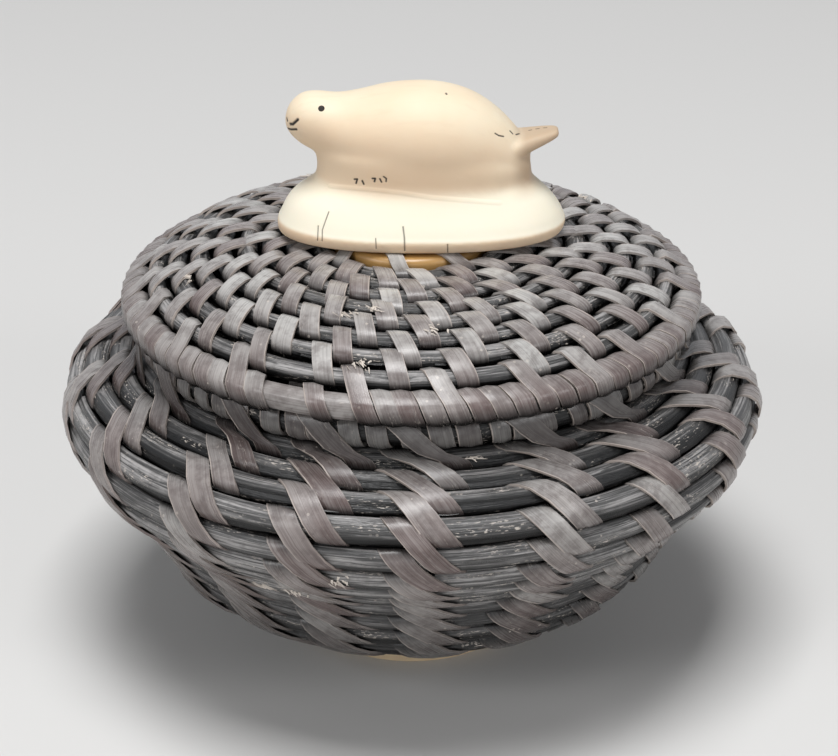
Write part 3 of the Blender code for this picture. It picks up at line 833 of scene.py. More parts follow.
def make_disc(name, sizes, material, body, slot, node, bore=None):
    """Disc with a ring of stitch holes and, on the lid, a bore for the carving's peg."""
    disc = placed(name, mesh_from(spun(rounded_outline(**sizes), DISC_STEPS), name))
    middle = (sizes["bottom"] + sizes["top"]) / 2
    ring = sizes["radius"] - STITCH_HOLE_INSET
    turns = [math.tau * (i + 0.5) / STITCH_HOLES for i in range(STITCH_HOLES)]
    holes = [(ring * math.cos(turn), ring * math.sin(turn), STITCH_HOLE_RADIUS) for turn in turns]
    holes += [(0.0, 0.0, bore)] if bore else []
    bm = bmesh.new()
    for x, y, radius in holes:
        place = Matrix.Translation(Vector((x, y, middle)) * MM)
        cylinder(bm, DRILL_SIDES, radius, DRILL_LENGTH, place)
    drill = placed(f"{name}_drill", mesh_from(bm, f"{name}_drill"))
    cut = disc.modifiers.new("Stitch holes", "BOOLEAN")
    cut.operation = "DIFFERENCE"
    cut.object = drill
    mesh = applied(disc)
    bpy.data.objects.remove(drill)
    mesh.shade_smooth()
    mesh.set_sharp_from_angle(angle=DISC_SHARP)
    piece(name, mesh, material, body, slot, node)


# Carving, in millimetres from the centre of its foot's underside

FINIAL_PLACE = (0.7, 0.0, 55.5)
MOUND_SQUARENESS = 2.3
# (height, half length, half width, shift) of the foot.
MOUND_RINGS = [
    (0.0, 17.5, 8.8, 0.4), (0.3, 17.95, 9.3, 0.45), (1.5, 18.15, 9.6, 0.6), (1.8, 17.9, 9.3, 0.6),
    (2.8, 17.5, 8.8, 0.6), (4.4, 16.5, 7.8, 0.5), (5.7, 15.1, 7.1, 0.6), (7.0, 13.6, 6.4, 0.85),
    (9.0, 13.3, 6.5, 0.85), (10.9, 12.8, 6.5, 0.1),
]
# (place, height of the middle, half height, half width) of the seal.
SEAL_SECTIONS = [
    (-16.3, 14.3, 0.8, 0.8), (-15.7, 14.5, 2.0, 1.9), (-14.2, 14.5, 3.3, 3.1),
    (-12.2, 14.1, 3.9, 3.8), (-9.8, 13.1, 4.6, 4.6), (-7.0, 12.5, 5.6, 5.5),
    (-3.6, 12.1, 6.8, 6.3), (0.4, 11.9, 7.3, 6.7), (3.6, 11.7, 7.2, 6.6),
    (6.6, 11.3, 6.7, 6.0), (9.4, 10.5, 5.8, 5.0), (12.0, 9.4, 4.3, 3.8), (14.1, 8.3, 2.6, 2.4),
]
# (reach, half height, half width) of a hind flipper.
FLUKE_SECTIONS = [
    (0.0, 1.6, 3.6), (3.4, 1.2, 3.1), (5.6, 0.95, 2.2),
    (7.4, 0.7, 1.5), (8.5, 0.5, 0.9), (8.9, 0.25, 0.4),
]
FLUKE_ROOT = (9.2, 0.25, 10.2)
FLUKE_RISE = math.radians(17.5)
FLUKE_SPREAD = math.radians(2)
FLUKE_SQUARENESS = 3.2
MOUND_SIDES = 72
SEAL_SIDES = 48
FLUKE_SIDES = 28
CARVING_VOXEL = 0.00026
CARVING_SMOOTHING = 24
CRISP_SMOOTHING = 6
CRISP_HEIGHT = 2.3
CRISP_REACH = 10.0


def oval_ring(half_x, half_y, sides, squareness=2.0):
    turns = np.arange(sides) * math.tau / sides
    x = soft(np.cos(turns), squareness) * half_x
    return list(zip(x, soft(np.sin(turns), squareness) * half_y))


def loft(bm, stations, samples, ring):
    """Skins the rings at smooth stations, first to last, and closes both ends."""
    loops = []
    for station in smooth_line(stations, samples)[1]:
        verts = [bm.verts.new(point * MM) for point in ring(*station)]
        loops.append([bm.edges.new(pair) for pair in zip(verts, verts[1:] + verts[:1])])
    for first, second in zip(loops, loops[1:]):
        bmesh.ops.bridge_loops(bm, edges=first + second)
    for end in (loops[0], loops[-1]):
        bmesh.ops.edgenet_fill(bm, edges=end)


def carving_block():
    """Foot, seal and flippers, pushed into each other before they are blended."""
    foot = Vector(FINIAL_PLACE)

    def mound_ring(height, half_x, half_y, shift):
        ring = oval_ring(half_x, half_y, MOUND_SIDES, MOUND_SQUARENESS)
        return [Vector((x + shift, y, height)) + foot for x, y in ring]

    def seal_ring(x, centre, half_z, half_y):
        ring = oval_ring(half_y, half_z, SEAL_SIDES)
        return [Vector((x, y, centre + z)) + foot for y, z in ring]

    bm = bmesh.new()
    loft(bm, MOUND_RINGS, 3, mound_ring)
    loft(bm, SEAL_SECTIONS, 4, seal_ring)
    for side in (1, -1):
        spread = Matrix.Rotation(side * FLUKE_SPREAD, 4, "Z")
        x, y, z = FLUKE_ROOT
        root = Matrix.Translation(foot + Vector((x, side * y, z)))
        lift = root @ (spread @ Matrix.Rotation(-FLUKE_RISE, 4, "Y"))

        def fluke_ring(reach, half_z, half_y):
            ring = oval_ring(half_y, half_z, FLUKE_SIDES, FLUKE_SQUARENESS)
            return [lift @ Vector((reach, y, z)) for y, z in ring]

        loft(bm, FLUKE_SECTIONS, 4, fluke_ring)
    bmesh.ops.recalc_face_normals(bm, faces=bm.faces)
    return mesh_from(bm, "seal_carving")


def blended(mesh):
    """One skin over the lofts, rubbed smooth, less so at the foot's edge and the flippers."""
    made = placed(mesh.name, mesh)
    skin = made.modifiers.new("One skin", "REMESH")
    skin.mode = "VOXEL"
    skin.voxel_size = CARVING_VOXEL
    mesh = applied(made)
    bm = opened(mesh)
    edge_top = (FINIAL_PLACE[2] + CRISP_HEIGHT) * MM
    flipper_start = (FINIAL_PLACE[0] + CRISP_REACH) * MM
    rubbed = [vert for vert in bm.verts if vert.co.z > edge_top and vert.co.x < flipper_start]
    rounds = CRISP_SMOOTHING * [list(bm.verts)] + (CARVING_SMOOTHING - CRISP_SMOOTHING) * [rubbed]
    axes = {"use_axis_x": True, "use_axis_y": True, "use_axis_z": True}
    for verts in rounds:
        bmesh.ops.smooth_vert(bm, verts=verts, factor=0.5, **axes)
    return written(bm, mesh)


# Photograph's camera, from which the carving's fine marks are placed.
PHOTO_WIDTH = 838
PHOTO_HEIGHT = 756
CAMERA_TARGET = Vector((0.97, 0.0, 34.3)) * MM
CAMERA_ELEVATION = math.radians(25.62)
FOCAL_PIXELS = 2620.9
PULL = Vector((0.0, -math.cos(CAMERA_ELEVATION), math.sin(CAMERA_ELEVATION)))

# Strokes on the carving in the photograph's pixels: a line of points, and the width and depth in
# millimetres. A negative depth stands proud.
DARK_STROKES = [
    ([(290.0, 124.2), (292.6, 124.4), (297.6, 119.8)], 0.25, 0.10),
    ([(286.6, 118.4), (287.2, 120.6)], 0.22, 0.08),
    ([(286.6, 128.2), (290.8, 129.6), (296.4, 129.4)], 0.19, 0.08),
    ([(354.4, 179.4), (357.2, 179.2), (356.0, 183.4)], 0.15, 0.07),
    ([(362.2, 181.0), (363.6, 184.2)], 0.16, 0.07),
    ([(372.4, 178.6), (375.2, 178.6), (374.4, 181.6)], 0.16, 0.07),
    ([(379.8, 179.0), (381.4, 182.2)], 0.14, 0.07),
    ([(383.6, 176.8), (386.2, 178.6), (386.0, 181.6)], 0.13, 0.06),
    ([(495.2, 133.4), (499.0, 135.6), (503.6, 136.4)], 0.12, 0.05),
    ([(510.2, 131.0), (512.8, 133.6)], 0.14, 0.05),
    ([(516.0, 134.6), (519.6, 133.6)], 0.11, 0.05),
    ([(446.2, 93.2), (446.6, 94.0)], 0.16, 0.06),
    ([(529.0, 130.2), (531.4, 129.8)], 0.12, 0.04),
    ([(536.0, 128.8), (539.0, 128.4)], 0.12, 0.04),
    ([(543.6, 127.8), (546.6, 127.6)], 0.11, 0.04),
]
CRACKS = [
    ([(318.0, 226.0), (317.4, 240.6)], 0.10, 0.08),
    ([(328.6, 212.0), (325.0, 222.0), (322.2, 230.0), (322.0, 241.0)], 0.10, 0.08),
    ([(375.6, 238.6), (376.2, 248.8)], 0.09, 0.08),
    ([(403.0, 227.0), (404.4, 238.0), (404.8, 251.0)], 0.12, 0.10),
    ([(447.6, 244.6), (447.8, 252.8)], 0.10, 0.09),
]
FOLD = [(330.0, 186.0), (352.0, 188.0), (376.0, 190.0), (402.0, 193.0)]
FOLD += [(430.0, 197.4), (466.0, 200.5), (500.0, 203.0)]
INKED = ((DARK_STROKES, 1.0), (CRACKS, 0.75), ([(FOLD, 0.3, -0.05)], 0.0))
MM_PER_PIXEL = 0.12
STROKE_SPACING = 0.05
EYE_PIXEL = (321.4, 108.4)
EYE_RADIUS = 0.44
EYE_LENGTH = 1.0
EYE_INSET = 0.46
EYE_DOME = 0.14
EYE_SIDES = 28
FINER_REACHES = (0.85, 0.5)
INK_REACH = 1.25


def photo_ray(x, y):
    """Start and direction of the sight line through a pixel of the photograph."""
    up = Vector((0.0, math.sin(CAMERA_ELEVATION), math.cos(CAMERA_ELEVATION)))
    right = Vector((1.0, 0.0, 0.0))
    sight = -PULL * FOCAL_PIXELS + right * (x - PHOTO_WIDTH / 2) - up * (y - PHOTO_HEIGHT / 2)
    eye = CAMERA_TARGET + PULL * bpy.context.scene.basket_stage.camera_distance
    return eye, sight.normalized()


def stroke_points(tree, pixels):
    """Points on the surface along a stroke, close together, in millimetres."""
    points = []
    for (x0, y0), (x1, y1) in zip(pixels, pixels[1:]):
        run = math.hypot(x1 - x0, y1 - y0) * MM_PER_PIXEL
        count = max(2, round(run / STROKE_SPACING))
        for k in range(count + 1):
            ray = photo_ray(x0 + (x1 - x0) * k / count, y0 + (y1 - y0) * k / count)
            spot = tree.ray_cast(*ray)[0]
            if spot is not None:
                points.append(spot / MM)
    return np.array(points)


def cut_strokes(mesh, tree):
    """Makes the skin finer near each stroke, sinks the stroke in and stores where it is dark, and
    how steep each place is, for painted shade on the flanks.
    """
    lines = [
        (stroke_points(tree, pixels), width, depth, ink)
        for strokes, ink in INKED
        for pixels, width, depth in strokes
    ]
    bm = opened(mesh)
    for reach in FINER_REACHES:
        near = near_strokes(bm, lines, reach)
        edges = {edge for face in near for edge in face.edges}
        bmesh.ops.subdivide_edges(bm, edges=list(edges), cuts=1, use_grid_fill=True)
    bmesh.ops.triangulate(bm, faces=[face for face in bm.faces if len(face.verts) > 4])
    bm.normal_update()
    ink_layer = bm.verts.layers.float.new("ink")
    flank_shade_layer = bm.verts.layers.float.new("flank_shade")
    places = np.array([vert.co for vert in bm.verts]) / MM
    sink = np.zeros(len(places))
    ink = np.zeros(len(places))
    for points, width, depth, dark in lines:
        mark = np.clip(INK_REACH - nearest(places, points) / width, 0.0, 1.0)
        mark = mark * mark * (3 - 2 * mark)
        sink = np.where(np.abs(depth * mark) > np.abs(sink), depth * mark, sink)
        ink = np.maximum(ink, dark * mark)
    for vert, down, dark in zip(bm.verts, sink, ink):
        # Painted shade: the steeper the surface, the more beige its flank is painted.
        vert[flank_shade_layer] = 1.0 - max(vert.normal.z, 0.0)
        vert[ink_layer] = float(dark)
        if down:
            vert.co -= vert.normal * float(down) * MM
    written(bm, mesh)


def nearest(places, points):
    """Distance of each place to the nearest of the points, worked out only near them."""
    low, high = points.min(axis=0) - 1.5, points.max(axis=0) + 1.5
    close = np.all((places > low) & (places < high), axis=1)
    found = np.full(len(places), 1e3)
    if close.any():
        apart = np.linalg.norm(places[close][:, None] - points[None], axis=2)
        found[close] = apart.min(axis=1)
    return found


def near_strokes(bm, lines, reach):
    """Faces within reach of a stroke, in millimetres."""
    faces = list(bm.faces)
    centres = np.array([face.calc_center_median() for face in faces]) / MM
    close = np.zeros(len(faces), bool)
    for points, width, _, _ in lines:
        close |= nearest(centres, points) < reach + width
    return [face for face, is_close in zip(faces, close) if is_close]


def eye_mesh(name, spot, normal):
    """Round plug of baleen with a domed face, standing square in the skin."""
    bm = bmesh.new()
    turn = normal.to_track_quat("Z", "Y").to_matrix().to_4x4()
    place = Matrix.Translation(spot - normal * EYE_INSET * MM) @ turn
    cylinder(bm, EYE_SIDES, EYE_RADIUS, EYE_LENGTH, place)
    top = max(bm.faces, key=lambda face: face.calc_center_median().dot(normal))
    dome = {"offset": EYE_DOME * MM, "segments": 4, "profile": 0.5}
    bmesh.ops.bevel(bm, geom=list(top.edges), affect="EDGES", material=-1, **dome)
    mesh = mesh_from(bm, name)
    mesh.shade_smooth()
    return mesh


# Finishes


def plug(tree, node, values):
    """Sets or links a node's inputs by name or number."""
    for key, value in values.items():
        if isinstance(value, bpy.types.NodeSocket):
            tree.links.new(value, node.inputs[key])
        else:
            node.inputs[key].default_value = value
    return node


def add(tree, kind, values, **settings):
    """Adds a node, sets it up, and sets or links its inputs."""
    node = tree.nodes.new(kind)
    for key, value in settings.items():
        setattr(node, key, value)
    return plug(tree, node, values)


def maths(tree, operation, first, second=0.0, third=0.0):
    values = {0: first, 1: second, 2: third}
    return add(tree, "ShaderNodeMath", values, operation=operation).outputs[0]


def inverse(tree, value):
    return maths(tree, "SUBTRACT", 1.0, value)


def ramp(tree, value, low, high):
    """0 below low, 1 above high, and smooth between."""
    values = {"Value": value, "From Min": low, "From Max": high}
    node = add(tree, "ShaderNodeMapRange", values, interpolation_type="SMOOTHSTEP")
    return node.outputs["Result"]


def mix(tree, factor, first, second):
    """Mixes two colours, which are sockets or three numbers each."""
    values = {0: factor}
    for key, shade in ((6, first), (7, second)):
        values[key] = shade if isinstance(shade, bpy.types.NodeSocket) else (*shade, 1.0)
    return add(tree, "ShaderNodeMix", values, data_type="RGBA", clamp_factor=True).outputs[2]


def tinted(tree, base, tints):
    """Base colour with others mixed in over it, each given as (factor, share, colour)."""
    for factor, share, shade in tints:
        base = mix(tree, maths(tree, "MULTIPLY", factor, share), base, shade)
    return base


def scaled(shade, factor):
    return [factor * c for c in shade]


def noise(tree, vector, scale, detail=3.0, roughness=0.55, distortion=0.0):
    """Noise at one scale or, for three, stretched along the axes."""
    if isinstance(scale, tuple):
        values = {0: vector, 1: scale}
        vector = add(tree, "ShaderNodeVectorMath", values, operation="MULTIPLY").outputs[0]
        scale = 1.0
    values = {"Vector": vector, "Scale": scale, "Detail": detail, "Roughness": roughness}
    values["Distortion"] = distortion
    return add(tree, "ShaderNodeTexNoise", values).outputs["Fac"]


def attribute(tree, name, output="Fac"):
    return add(tree, "ShaderNodeAttribute", {}, attribute_name=name).outputs[output]


def object_place(tree):
    return add(tree, "ShaderNodeTexCoord", {}).outputs["Object"]


def bump(tree, height, strength, distance):
    values = {"Height": height, "Strength": strength, "Distance": distance}
    return add(tree, "ShaderNodeBump", values).outputs["Normal"]


def shared(tree, name, build, values):
    """Outputs of a node group that is built once; build gets the group's tree and inputs."""
    made = bpy.data.node_groups.get(name)
    if made is None:
        made = bpy.data.node_groups.new(name, "ShaderNodeTree")
        for label in values:
            kind = "NodeSocketVector" if label in ("Grain", "Place") else "NodeSocketFloat"
            made.interface.new_socket(label, in_out="INPUT", socket_type=kind)
        results = build(made, made.nodes.new("NodeGroupInput").outputs)
        for label in results:
            made.interface.new_socket(label, in_out="OUTPUT", socket_type="NodeSocketFloat")
        plug(made, made.nodes.new("NodeGroupOutput"), results)
    return add(tree, "ShaderNodeGroup", values, node_tree=made).outputs


def build_fibre(tree, given):
    """Lengthwise fibres: a streak value, a height for the bump, and pale flecks."""
    grain = given["Grain"]
    broad = noise(tree, grain, (0.035, 1.1, 1.1), 3.0, 0.6)
    fine = noise(tree, grain, (0.09, 4.2, 4.2), 4.0, 0.65)
    finest = noise(tree, grain, (0.3, 11.0, 11.0), 2.0, 0.6)
    streak = maths(tree, "MULTIPLY_ADD", fine, 0.55, maths(tree, "MULTIPLY", broad, 0.45))
    spots = noise(tree, grain, (1.7, 6.5, 6.5), 2.0, 0.6)
    patches = noise(tree, grain, (0.11, 0.7, 0.7), 2.0, 0.5)
    fleck = maths(tree, "MULTIPLY", ramp(tree, spots, 0.58, 0.66), ramp(tree, patches, 0.52, 0.62))
    height = maths(tree, "MULTIPLY_ADD", finest, 0.35, streak)
    return {"Streak": streak, "Height": height, "Fleck": fleck}


def build_wear(tree, given):
    """Worn edges, whose pale colour is partly a painted highlight: most where an edge value is near
    1, less near -1, broken up along the grain.
    """
    rough = noise(tree, given["Grain"], (0.35, 0.2, 0.2), 3.0, 0.6)
    shift = maths(tree, "SUBTRACT", rough, 0.5)
    near = maths(tree, "MULTIPLY_ADD", shift, given["Break"], given["Edge"])
    near = ramp(tree, near, 0.88, 0.98)
    far = ramp(tree, maths(tree, "SUBTRACT", 0.0, given["Edge"]), 0.93, 1.0)
    return {"Wear and glint": maths(tree, "MULTIPLY_ADD", maths(tree, "MULTIPLY", far, rough), 0.7, near)}


def build_dust(tree, given):
    """Small pale specks that have settled all over, thicker in some places, and cloudy stains."""
    place = given["Place"]
    cells = {"Vector": place, "Scale": 900.0, "Randomness": 1.0}
    apart = add(tree, "ShaderNodeTexVoronoi", cells).outputs["Distance"]
    where = ramp(tree, noise(tree, place, 220.0, 2.0), 0.55, 0.68)
    speck = maths(tree, "MULTIPLY", maths(tree, "LESS_THAN", apart, 0.16), where)
    return {"Speck": speck, "Stain": ramp(tree, noise(tree, place, 480.0, 4.0, 0.65), 0.42, 0.66)}


def build_mottle(tree, given):
    """Clouded colour of old ivory, its warm patches and its faint lengthwise grain."""
    place = given["Place"]
    cloud = ramp(tree, noise(tree, place, 130.0, 4.0, 0.6, 0.4), 0.3, 0.75)
    patch = ramp(tree, noise(tree, place, 55.0, 3.0, 0.55), 0.35, 0.7)
    grain = noise(tree, place, (160.0, 1400.0, 900.0), 3.0, 0.6)
    return {"Cloud": cloud, "Patch": patch, "Grain": grain}


def finish(name, inputs):
    """Material that is made once; inputs gives its shader's inputs for its tree."""
    made = bpy.data.materials.get(name)
    if made is None:
        made = bpy.data.materials.new(name)
        made.use_nodes = True
        plug(made.node_tree, made.node_tree.nodes["Principled BSDF"], inputs(made.node_tree))
    return made


# Painted shade darkens the lower bowl and the rim under the lid, between these heights in metres.
LOWER_BOWL = (0.004, 0.03)
UNDER_LID = (0.038, 0.041, 0.0445, 0.0455)
PAINTED_SHADE_SHARE = 0.58
LOW_GAP_SHADE = 0.28

# Shares of pale streaks, painted shade in the fibres' grooves, pale edges (worn, and partly a
# painted highlight) and flecks, where the crest's painted shade starts and ends, the least
# roughness, and the strength and depth of the fibres' relief.
Look = namedtuple("Look", "streak dark edge fleck crest rough relief depth")
ROD_LOOK = Look(0.75, 0.8, 0.0, 0.8, (0.72, 0.98), 0.22, 1.0, 0.0002)
SPLINT_LOOK = Look(0.18, 0.16, 0.85, 0.3, (0.42, 1.0), 0.18, 0.5, 0.00007)


def baleen_inputs(tree, look, dark, light, pale):
    """Split or shaved baleen: dark, fibrous and satin, with painted black shade between rows."""
    colours = bpy.context.scene.basket_baleen
    grain = attribute(tree, "grain", "Vector")
    place = object_place(tree)
    edge = attribute(tree, "edge")
    tone = attribute(tree, "tone")
    fibres = shared(tree, "Baleen fibre", build_fibre, {"Grain": grain})
    edges = {"Grain": grain, "Edge": edge, "Break": 0.3}
    wear_and_glint = shared(tree, "Worn and glinting edge", build_wear, edges)["Wear and glint"]
    dusts = shared(tree, "Settled dust", build_dust, {"Place": place})
    height = add(tree, "ShaderNodeSeparateXYZ", {"Vector": place}).outputs["Z"]
    # Painted shade: darker towards the bottom, with wider dark gaps there, and under the lid's rim.
    low = inverse(tree, ramp(tree, height, *LOWER_BOWL))
    crest = maths(tree, "MULTIPLY_ADD", low, -LOW_GAP_SHADE, attribute(tree, "crest"))
    crest = ramp(tree, crest, *look.crest)
    lid_shadow = ramp(tree, height, *UNDER_LID[:2]), ramp(tree, height, *UNDER_LID[2:])
    painted_shade = maths(tree, "MAXIMUM", low, maths(tree, "SUBTRACT", *lid_shadow))
    tints = [
        (ramp(tree, fibres["Streak"], 0.46, 0.6), look.streak, pale),
        # Painted shade: darker where the fibres' relief is low, in its grooves.
        (inverse(tree, ramp(tree, fibres["Height"], 0.6, 0.7)), look.dark, scaled(dark, 0.3)),
        (dusts["Stain"], 0.45, scaled(light, 0.5)),
        # Painted shade: black where the crest falls away into the gaps between rows.
        (inverse(tree, crest), 1.0, colours.gap),
        (painted_shade, PAINTED_SHADE_SHARE, colours.gap),
        # Pale edges: partly real wear, partly a painted highlight on the lit crests.
        (maths(tree, "MULTIPLY", wear_and_glint, crest), look.edge, colours.splint_edge),
        (fibres["Fleck"], look.fleck, colours.fleck),
        (dusts["Speck"], 0.5, colours.fleck),
        (maths(tree, "GREATER_THAN", tone, 1.5), 1.0, colours.fleck),
    ]
    rough = maths(tree, "MULTIPLY_ADD", fibres["Streak"], 0.2, look.rough)
    return {
        "Base Color": tinted(tree, mix(tree, tone, dark, light), tints),
        "Roughness": maths(tree, "MULTIPLY_ADD", wear_and_glint, 0.12, rough),
        "Specular IOR Level": 0.4,
        "Normal": bump(tree, fibres["Height"], look.relief, look.depth),
    }


def baleen_finish(splint):
    colours = bpy.context.scene.basket_baleen
    if splint:
        shades = colours.splint_grey, colours.splint_brown, scaled(colours.splint_grey, 1.5)
        return finish("splint_baleen", lambda tree: baleen_inputs(tree, SPLINT_LOOK, *shades))
    shades = colours.rod_grey, colours.rod_light, scaled(colours.rod_light, 3.2)
    return finish("rod_baleen", lambda tree: baleen_inputs(tree, ROD_LOOK, *shades))


# Painted light: the foot's top is painted the palest ivory, while its edge keeps the flanks'
# painted shade; the flippers are the dullest; in metres.
FOOT_BAND = (0.0569, 0.0574)
FOOT_TOP = (0.0605, 0.0635)
FOOT_HIGHLIGHT = (0.88, 0.84, 0.70)
FLIPPERS = (0.0120, 0.0145)


def carved_tints(tree, place, shade):
    """Painted shade on the flanks, painted light on the foot's top, dull flippers, and dark in the
    cut marks.
    """
    spot = add(tree, "ShaderNodeSeparateXYZ", {"Vector": place}).outputs
    above = ramp(tree, spot["Z"], *FOOT_TOP)
    foot = maths(tree, "MULTIPLY", inverse(tree, above), ramp(tree, spot["Z"], *FOOT_BAND))
    return [
        # Painted shade on the steep flanks.
        (ramp(tree, attribute(tree, "flank_shade"), 0.3, 0.95), 0.55, shade),
        # Painted light: the foot's top is lightened.
        (foot, 0.85, FOOT_HIGHLIGHT),
        (maths(tree, "MULTIPLY", ramp(tree, spot["X"], *FLIPPERS), above), 0.8, scaled(shade, 0.6)),
        (attribute(tree, "ink"), 1.0, bpy.context.scene.basket_carving.ink),
    ]


def ivory_finish(name, light, shade, polish, carved=False):
    """Rubbed ivory: cream with beige clouds and a faint grain."""

    def inputs(tree):
        place = object_place(tree)
        parts = shared(tree, "Old ivory", build_mottle, {"Place": place})
        tints = [
            (parts["Patch"], 0.65, shade),
            (parts["Cloud"], 0.35, scaled(light, 1.04)),
            (ramp(tree, parts["Grain"], 0.5, 0.8), 0.16, scaled(shade, 0.8)),
        ]
        if carved:
            tints += carved_tints(tree, place, shade)
        return {
            "Base Color": tinted(tree, light, tints),
            "Roughness": maths(tree, "MULTIPLY_ADD", parts["Cloud"], 0.14, 0.55 - 0.3 * polish),
            "Specular IOR Level": 0.3 + 0.2 * polish,
            "Subsurface Weight": 0.12,
            "Subsurface Radius": (1.0, 0.7, 0.45),
            "Subsurface Scale": 0.0012,
            "Normal": bump(tree, parts["Grain"], 0.12, 0.00006),
        }

    return finish(name, inputs)


def eye_inputs(tree):
    grain = noise(tree, object_place(tree), 4000.0)
    black = mix(tree, grain, (0.008, 0.007, 0.006), (0.03, 0.025, 0.02))
    return {"Base Color": black, "Roughness": 0.6, "Specular IOR Level": 0.2}


# Settings


def length_prop(name, description, default):
    return FloatProperty(name=name, description=description, default=default * MM, unit="LENGTH")


def number_prop(name, description, default):
    return FloatProperty(name=name, description=description, default=default)


def share_prop(name, description, default):
    return FloatProperty(name=name, description=description, default=default, subtype="FACTOR")


def count_prop(name, description, default):
    return IntProperty(name=name, description=description, default=default, min=6)


def colour_prop(name, description, *default):
    texts = {"name": name, "description": description}
    return FloatVectorProperty(**texts, default=default, subtype="COLOR")


class BaleenSettings(bpy.types.PropertyGroup):
    """Sizes of the rods and splints and their colours."""

    body_rod_height: length_prop("Body rod height", "Height of a body rod along the wall", 3.18)
    body_rod_depth: length_prop("Body rod depth", "Thickness of a body rod through the wall", 2.84)
    lid_rod_height: length_prop("Lid rod width", "Width of a lid rod along the wall", 2.4)
    lid_rod_depth: length_prop("Lid rod depth", "Thickness of a lid rod through the wall", 2.5)
    rod_groove: share_prop("Rod groove", "Depth of the fissures as a share of the rod", 0.15)
    rod_uneven: share_prop("Rod unevenness", "How far a rod's thickness varies", 0.055)
    body_width: length_prop("Body splint width", "Width of a shaved splint on the body", 2.35)
    lid_width: length_prop("Lid splint width", "Width of a shaved splint on the lid", 2.24)
    thickness: length_prop("Splint thickness", "Thickness of a shaved splint", 0.3)
    crown: length_prop("Splint crown", "How far a splint is domed across", 0.07)
    body_columns: count_prop("Body columns", "Columns of stitches round the body", 18)
    lid_columns: count_prop("Lid columns", "Columns of stitches round the lid", 24)
    body_slope: number_prop("Body slope", "Run round the body for each unit run down it", 1.05)
    lid_slope: number_prop("Lid slope", "Run round the lid for each unit run outwards", 0.38)
    rod_grey: colour_prop("Rod colour", "Dark baleen of the rods", 0.08, 0.08, 0.08)
    rod_light: colour_prop("Rod grey", "Greyer baleen of the rods", 0.145, 0.14, 0.138)
    splint_grey: colour_prop("Splint colour", "Grey shaved baleen", 0.45, 0.443, 0.428)
    splint_brown: colour_prop("Splint brown", "Purple-brown shaved baleen", 0.132, 0.092, 0.086)
    # Partly wear, partly a painted highlight where the edges catch light.
    splint_edge: colour_prop("Splint edge", "Pale worn edge of a splint", 0.45, 0.39, 0.35)
    fleck: colour_prop("Fleck", "Pale torn fibres and dust", 0.62, 0.56, 0.5)
    # Painted shade: the near-black that the finishes paint into the gaps between rows.
    gap: colour_prop("Gap", "Baleen deep between the rows", 0.0025, 0.0025, 0.0025)


class CarvingSettings(bpy.types.PropertyGroup):
    """Colours of the ivory pieces."""

    cream: colour_prop("Ivory", "Light cream of the carving", 0.8, 0.7, 0.53)
    beige: colour_prop("Ivory shade", "Beige patches of the carving", 0.74, 0.535, 0.36)
    amber: colour_prop("Amber", "Aged disc of the lid", 0.43, 0.25, 0.085)
    amber_shade: colour_prop("Amber shade", "Darker parts of the lid's disc", 0.31, 0.16, 0.05)
    base: colour_prop("Base ivory", "Disc under the body", 0.84, 0.66, 0.44)
    ink: colour_prop("Cut marks", "Dark fill of the carving's marks", 0.012, 0.01, 0.009)


class StageSettings(bpy.types.PropertyGroup):
    """Floor, lamps and camera."""

    floor_colour: colour_prop("Floor", "Colour of the plain floor", 0.66, 0.655, 0.645)
    camera_distance: length_prop("Camera distance", "From the camera to the basket", 340)
    lamp_strength: share_prop("Lamps", "Strength of all lamps together", 1.0)


# Operators

BODY_ROD_SIDES = 30
LID_ROD_SIDES = 28
FLANGE_SIDES = 18
FLANGE_STEPS = FLANGE_TURNS * STEPS_PER_TURN
HOOP_RADIUS = 1.62
HOOP_SIDES = 24
RIM_CORE = 0.88
RIM_CORE_INSIDE = (-1.2, 0.9)


class BASKET_OT_body_rods(bpy.types.Operator):
    """Lay the body's coiled rods and its rim hoop"""

    bl_idname = "basket.body_rods"
    bl_label = "Body rods"

    def execute(self, context):
        sizes = context.scene.basket_baleen
        height, depth = sizes.body_rod_height, sizes.body_rod_depth
        lay_rods(BODY_COIL, BODY_LENGTHS, height, depth, sizes, BODY_ROD_SIDES, 21)
        turns = np.radians(np.linspace(0, 360, HOOP_SIDES + 1))
        section = np.stack([HOOP_RADIUS * np.sin(turns), HOOP_RADIUS * np.cos(turns)], axis=-1)
        shape = hoop_shape(BODY_COIL, section, 31)
        mesh = tube_mesh("body_hoop", HOOP_SIDES, STEPS_PER_TURN, shape)
        piece("body_hoop", mesh, baleen_finish(False), "body", "baleen_rod", "body_rim_hoop")
        return {"FINISHED"}


class BASKET_OT_lid_rods(bpy.types.Operator):
    """Lay the lid's coiled rods, its rim hoop and the coil under it"""

    bl_idname = "basket.lid_rods"
    bl_label = "Lid rods"

    def execute(self, context):
        sizes = context.scene.basket_baleen
        height, depth = sizes.lid_rod_height, sizes.lid_rod_depth
        lay_rods(LID_COIL, LID_LENGTHS, height, depth, sizes, LID_ROD_SIDES, 41)
        _, along, out = LID_COIL.frame(np.array(LID_COIL.total))
        corners = np.array([RIM_CORE_INSIDE, *LID_RIM_OVER, RIM_CORE_INSIDE]) * RIM_CORE
        section = np.stack([corners @ along, corners @ out], axis=-1)
        shape = hoop_shape(LID_COIL, section, 32, (BARE_WRAPS[0][0], BARE_WRAPS[-1][1]))
        mesh = tube_mesh("lid_hoop", len(section) - 1, STEPS_PER_TURN, shape)
        piece("lid_hoop", mesh, baleen_finish(True), "lid", "baleen_rod", "lid_rim_hoop")
        mesh = tube_mesh("lid_seating_coil", FLANGE_SIDES, FLANGE_STEPS, flange_shape)
        piece("lid_seating_coil", mesh, baleen_finish(False), "lid", "baleen_rod", "flange_rod")
        return {"FINISHED"}


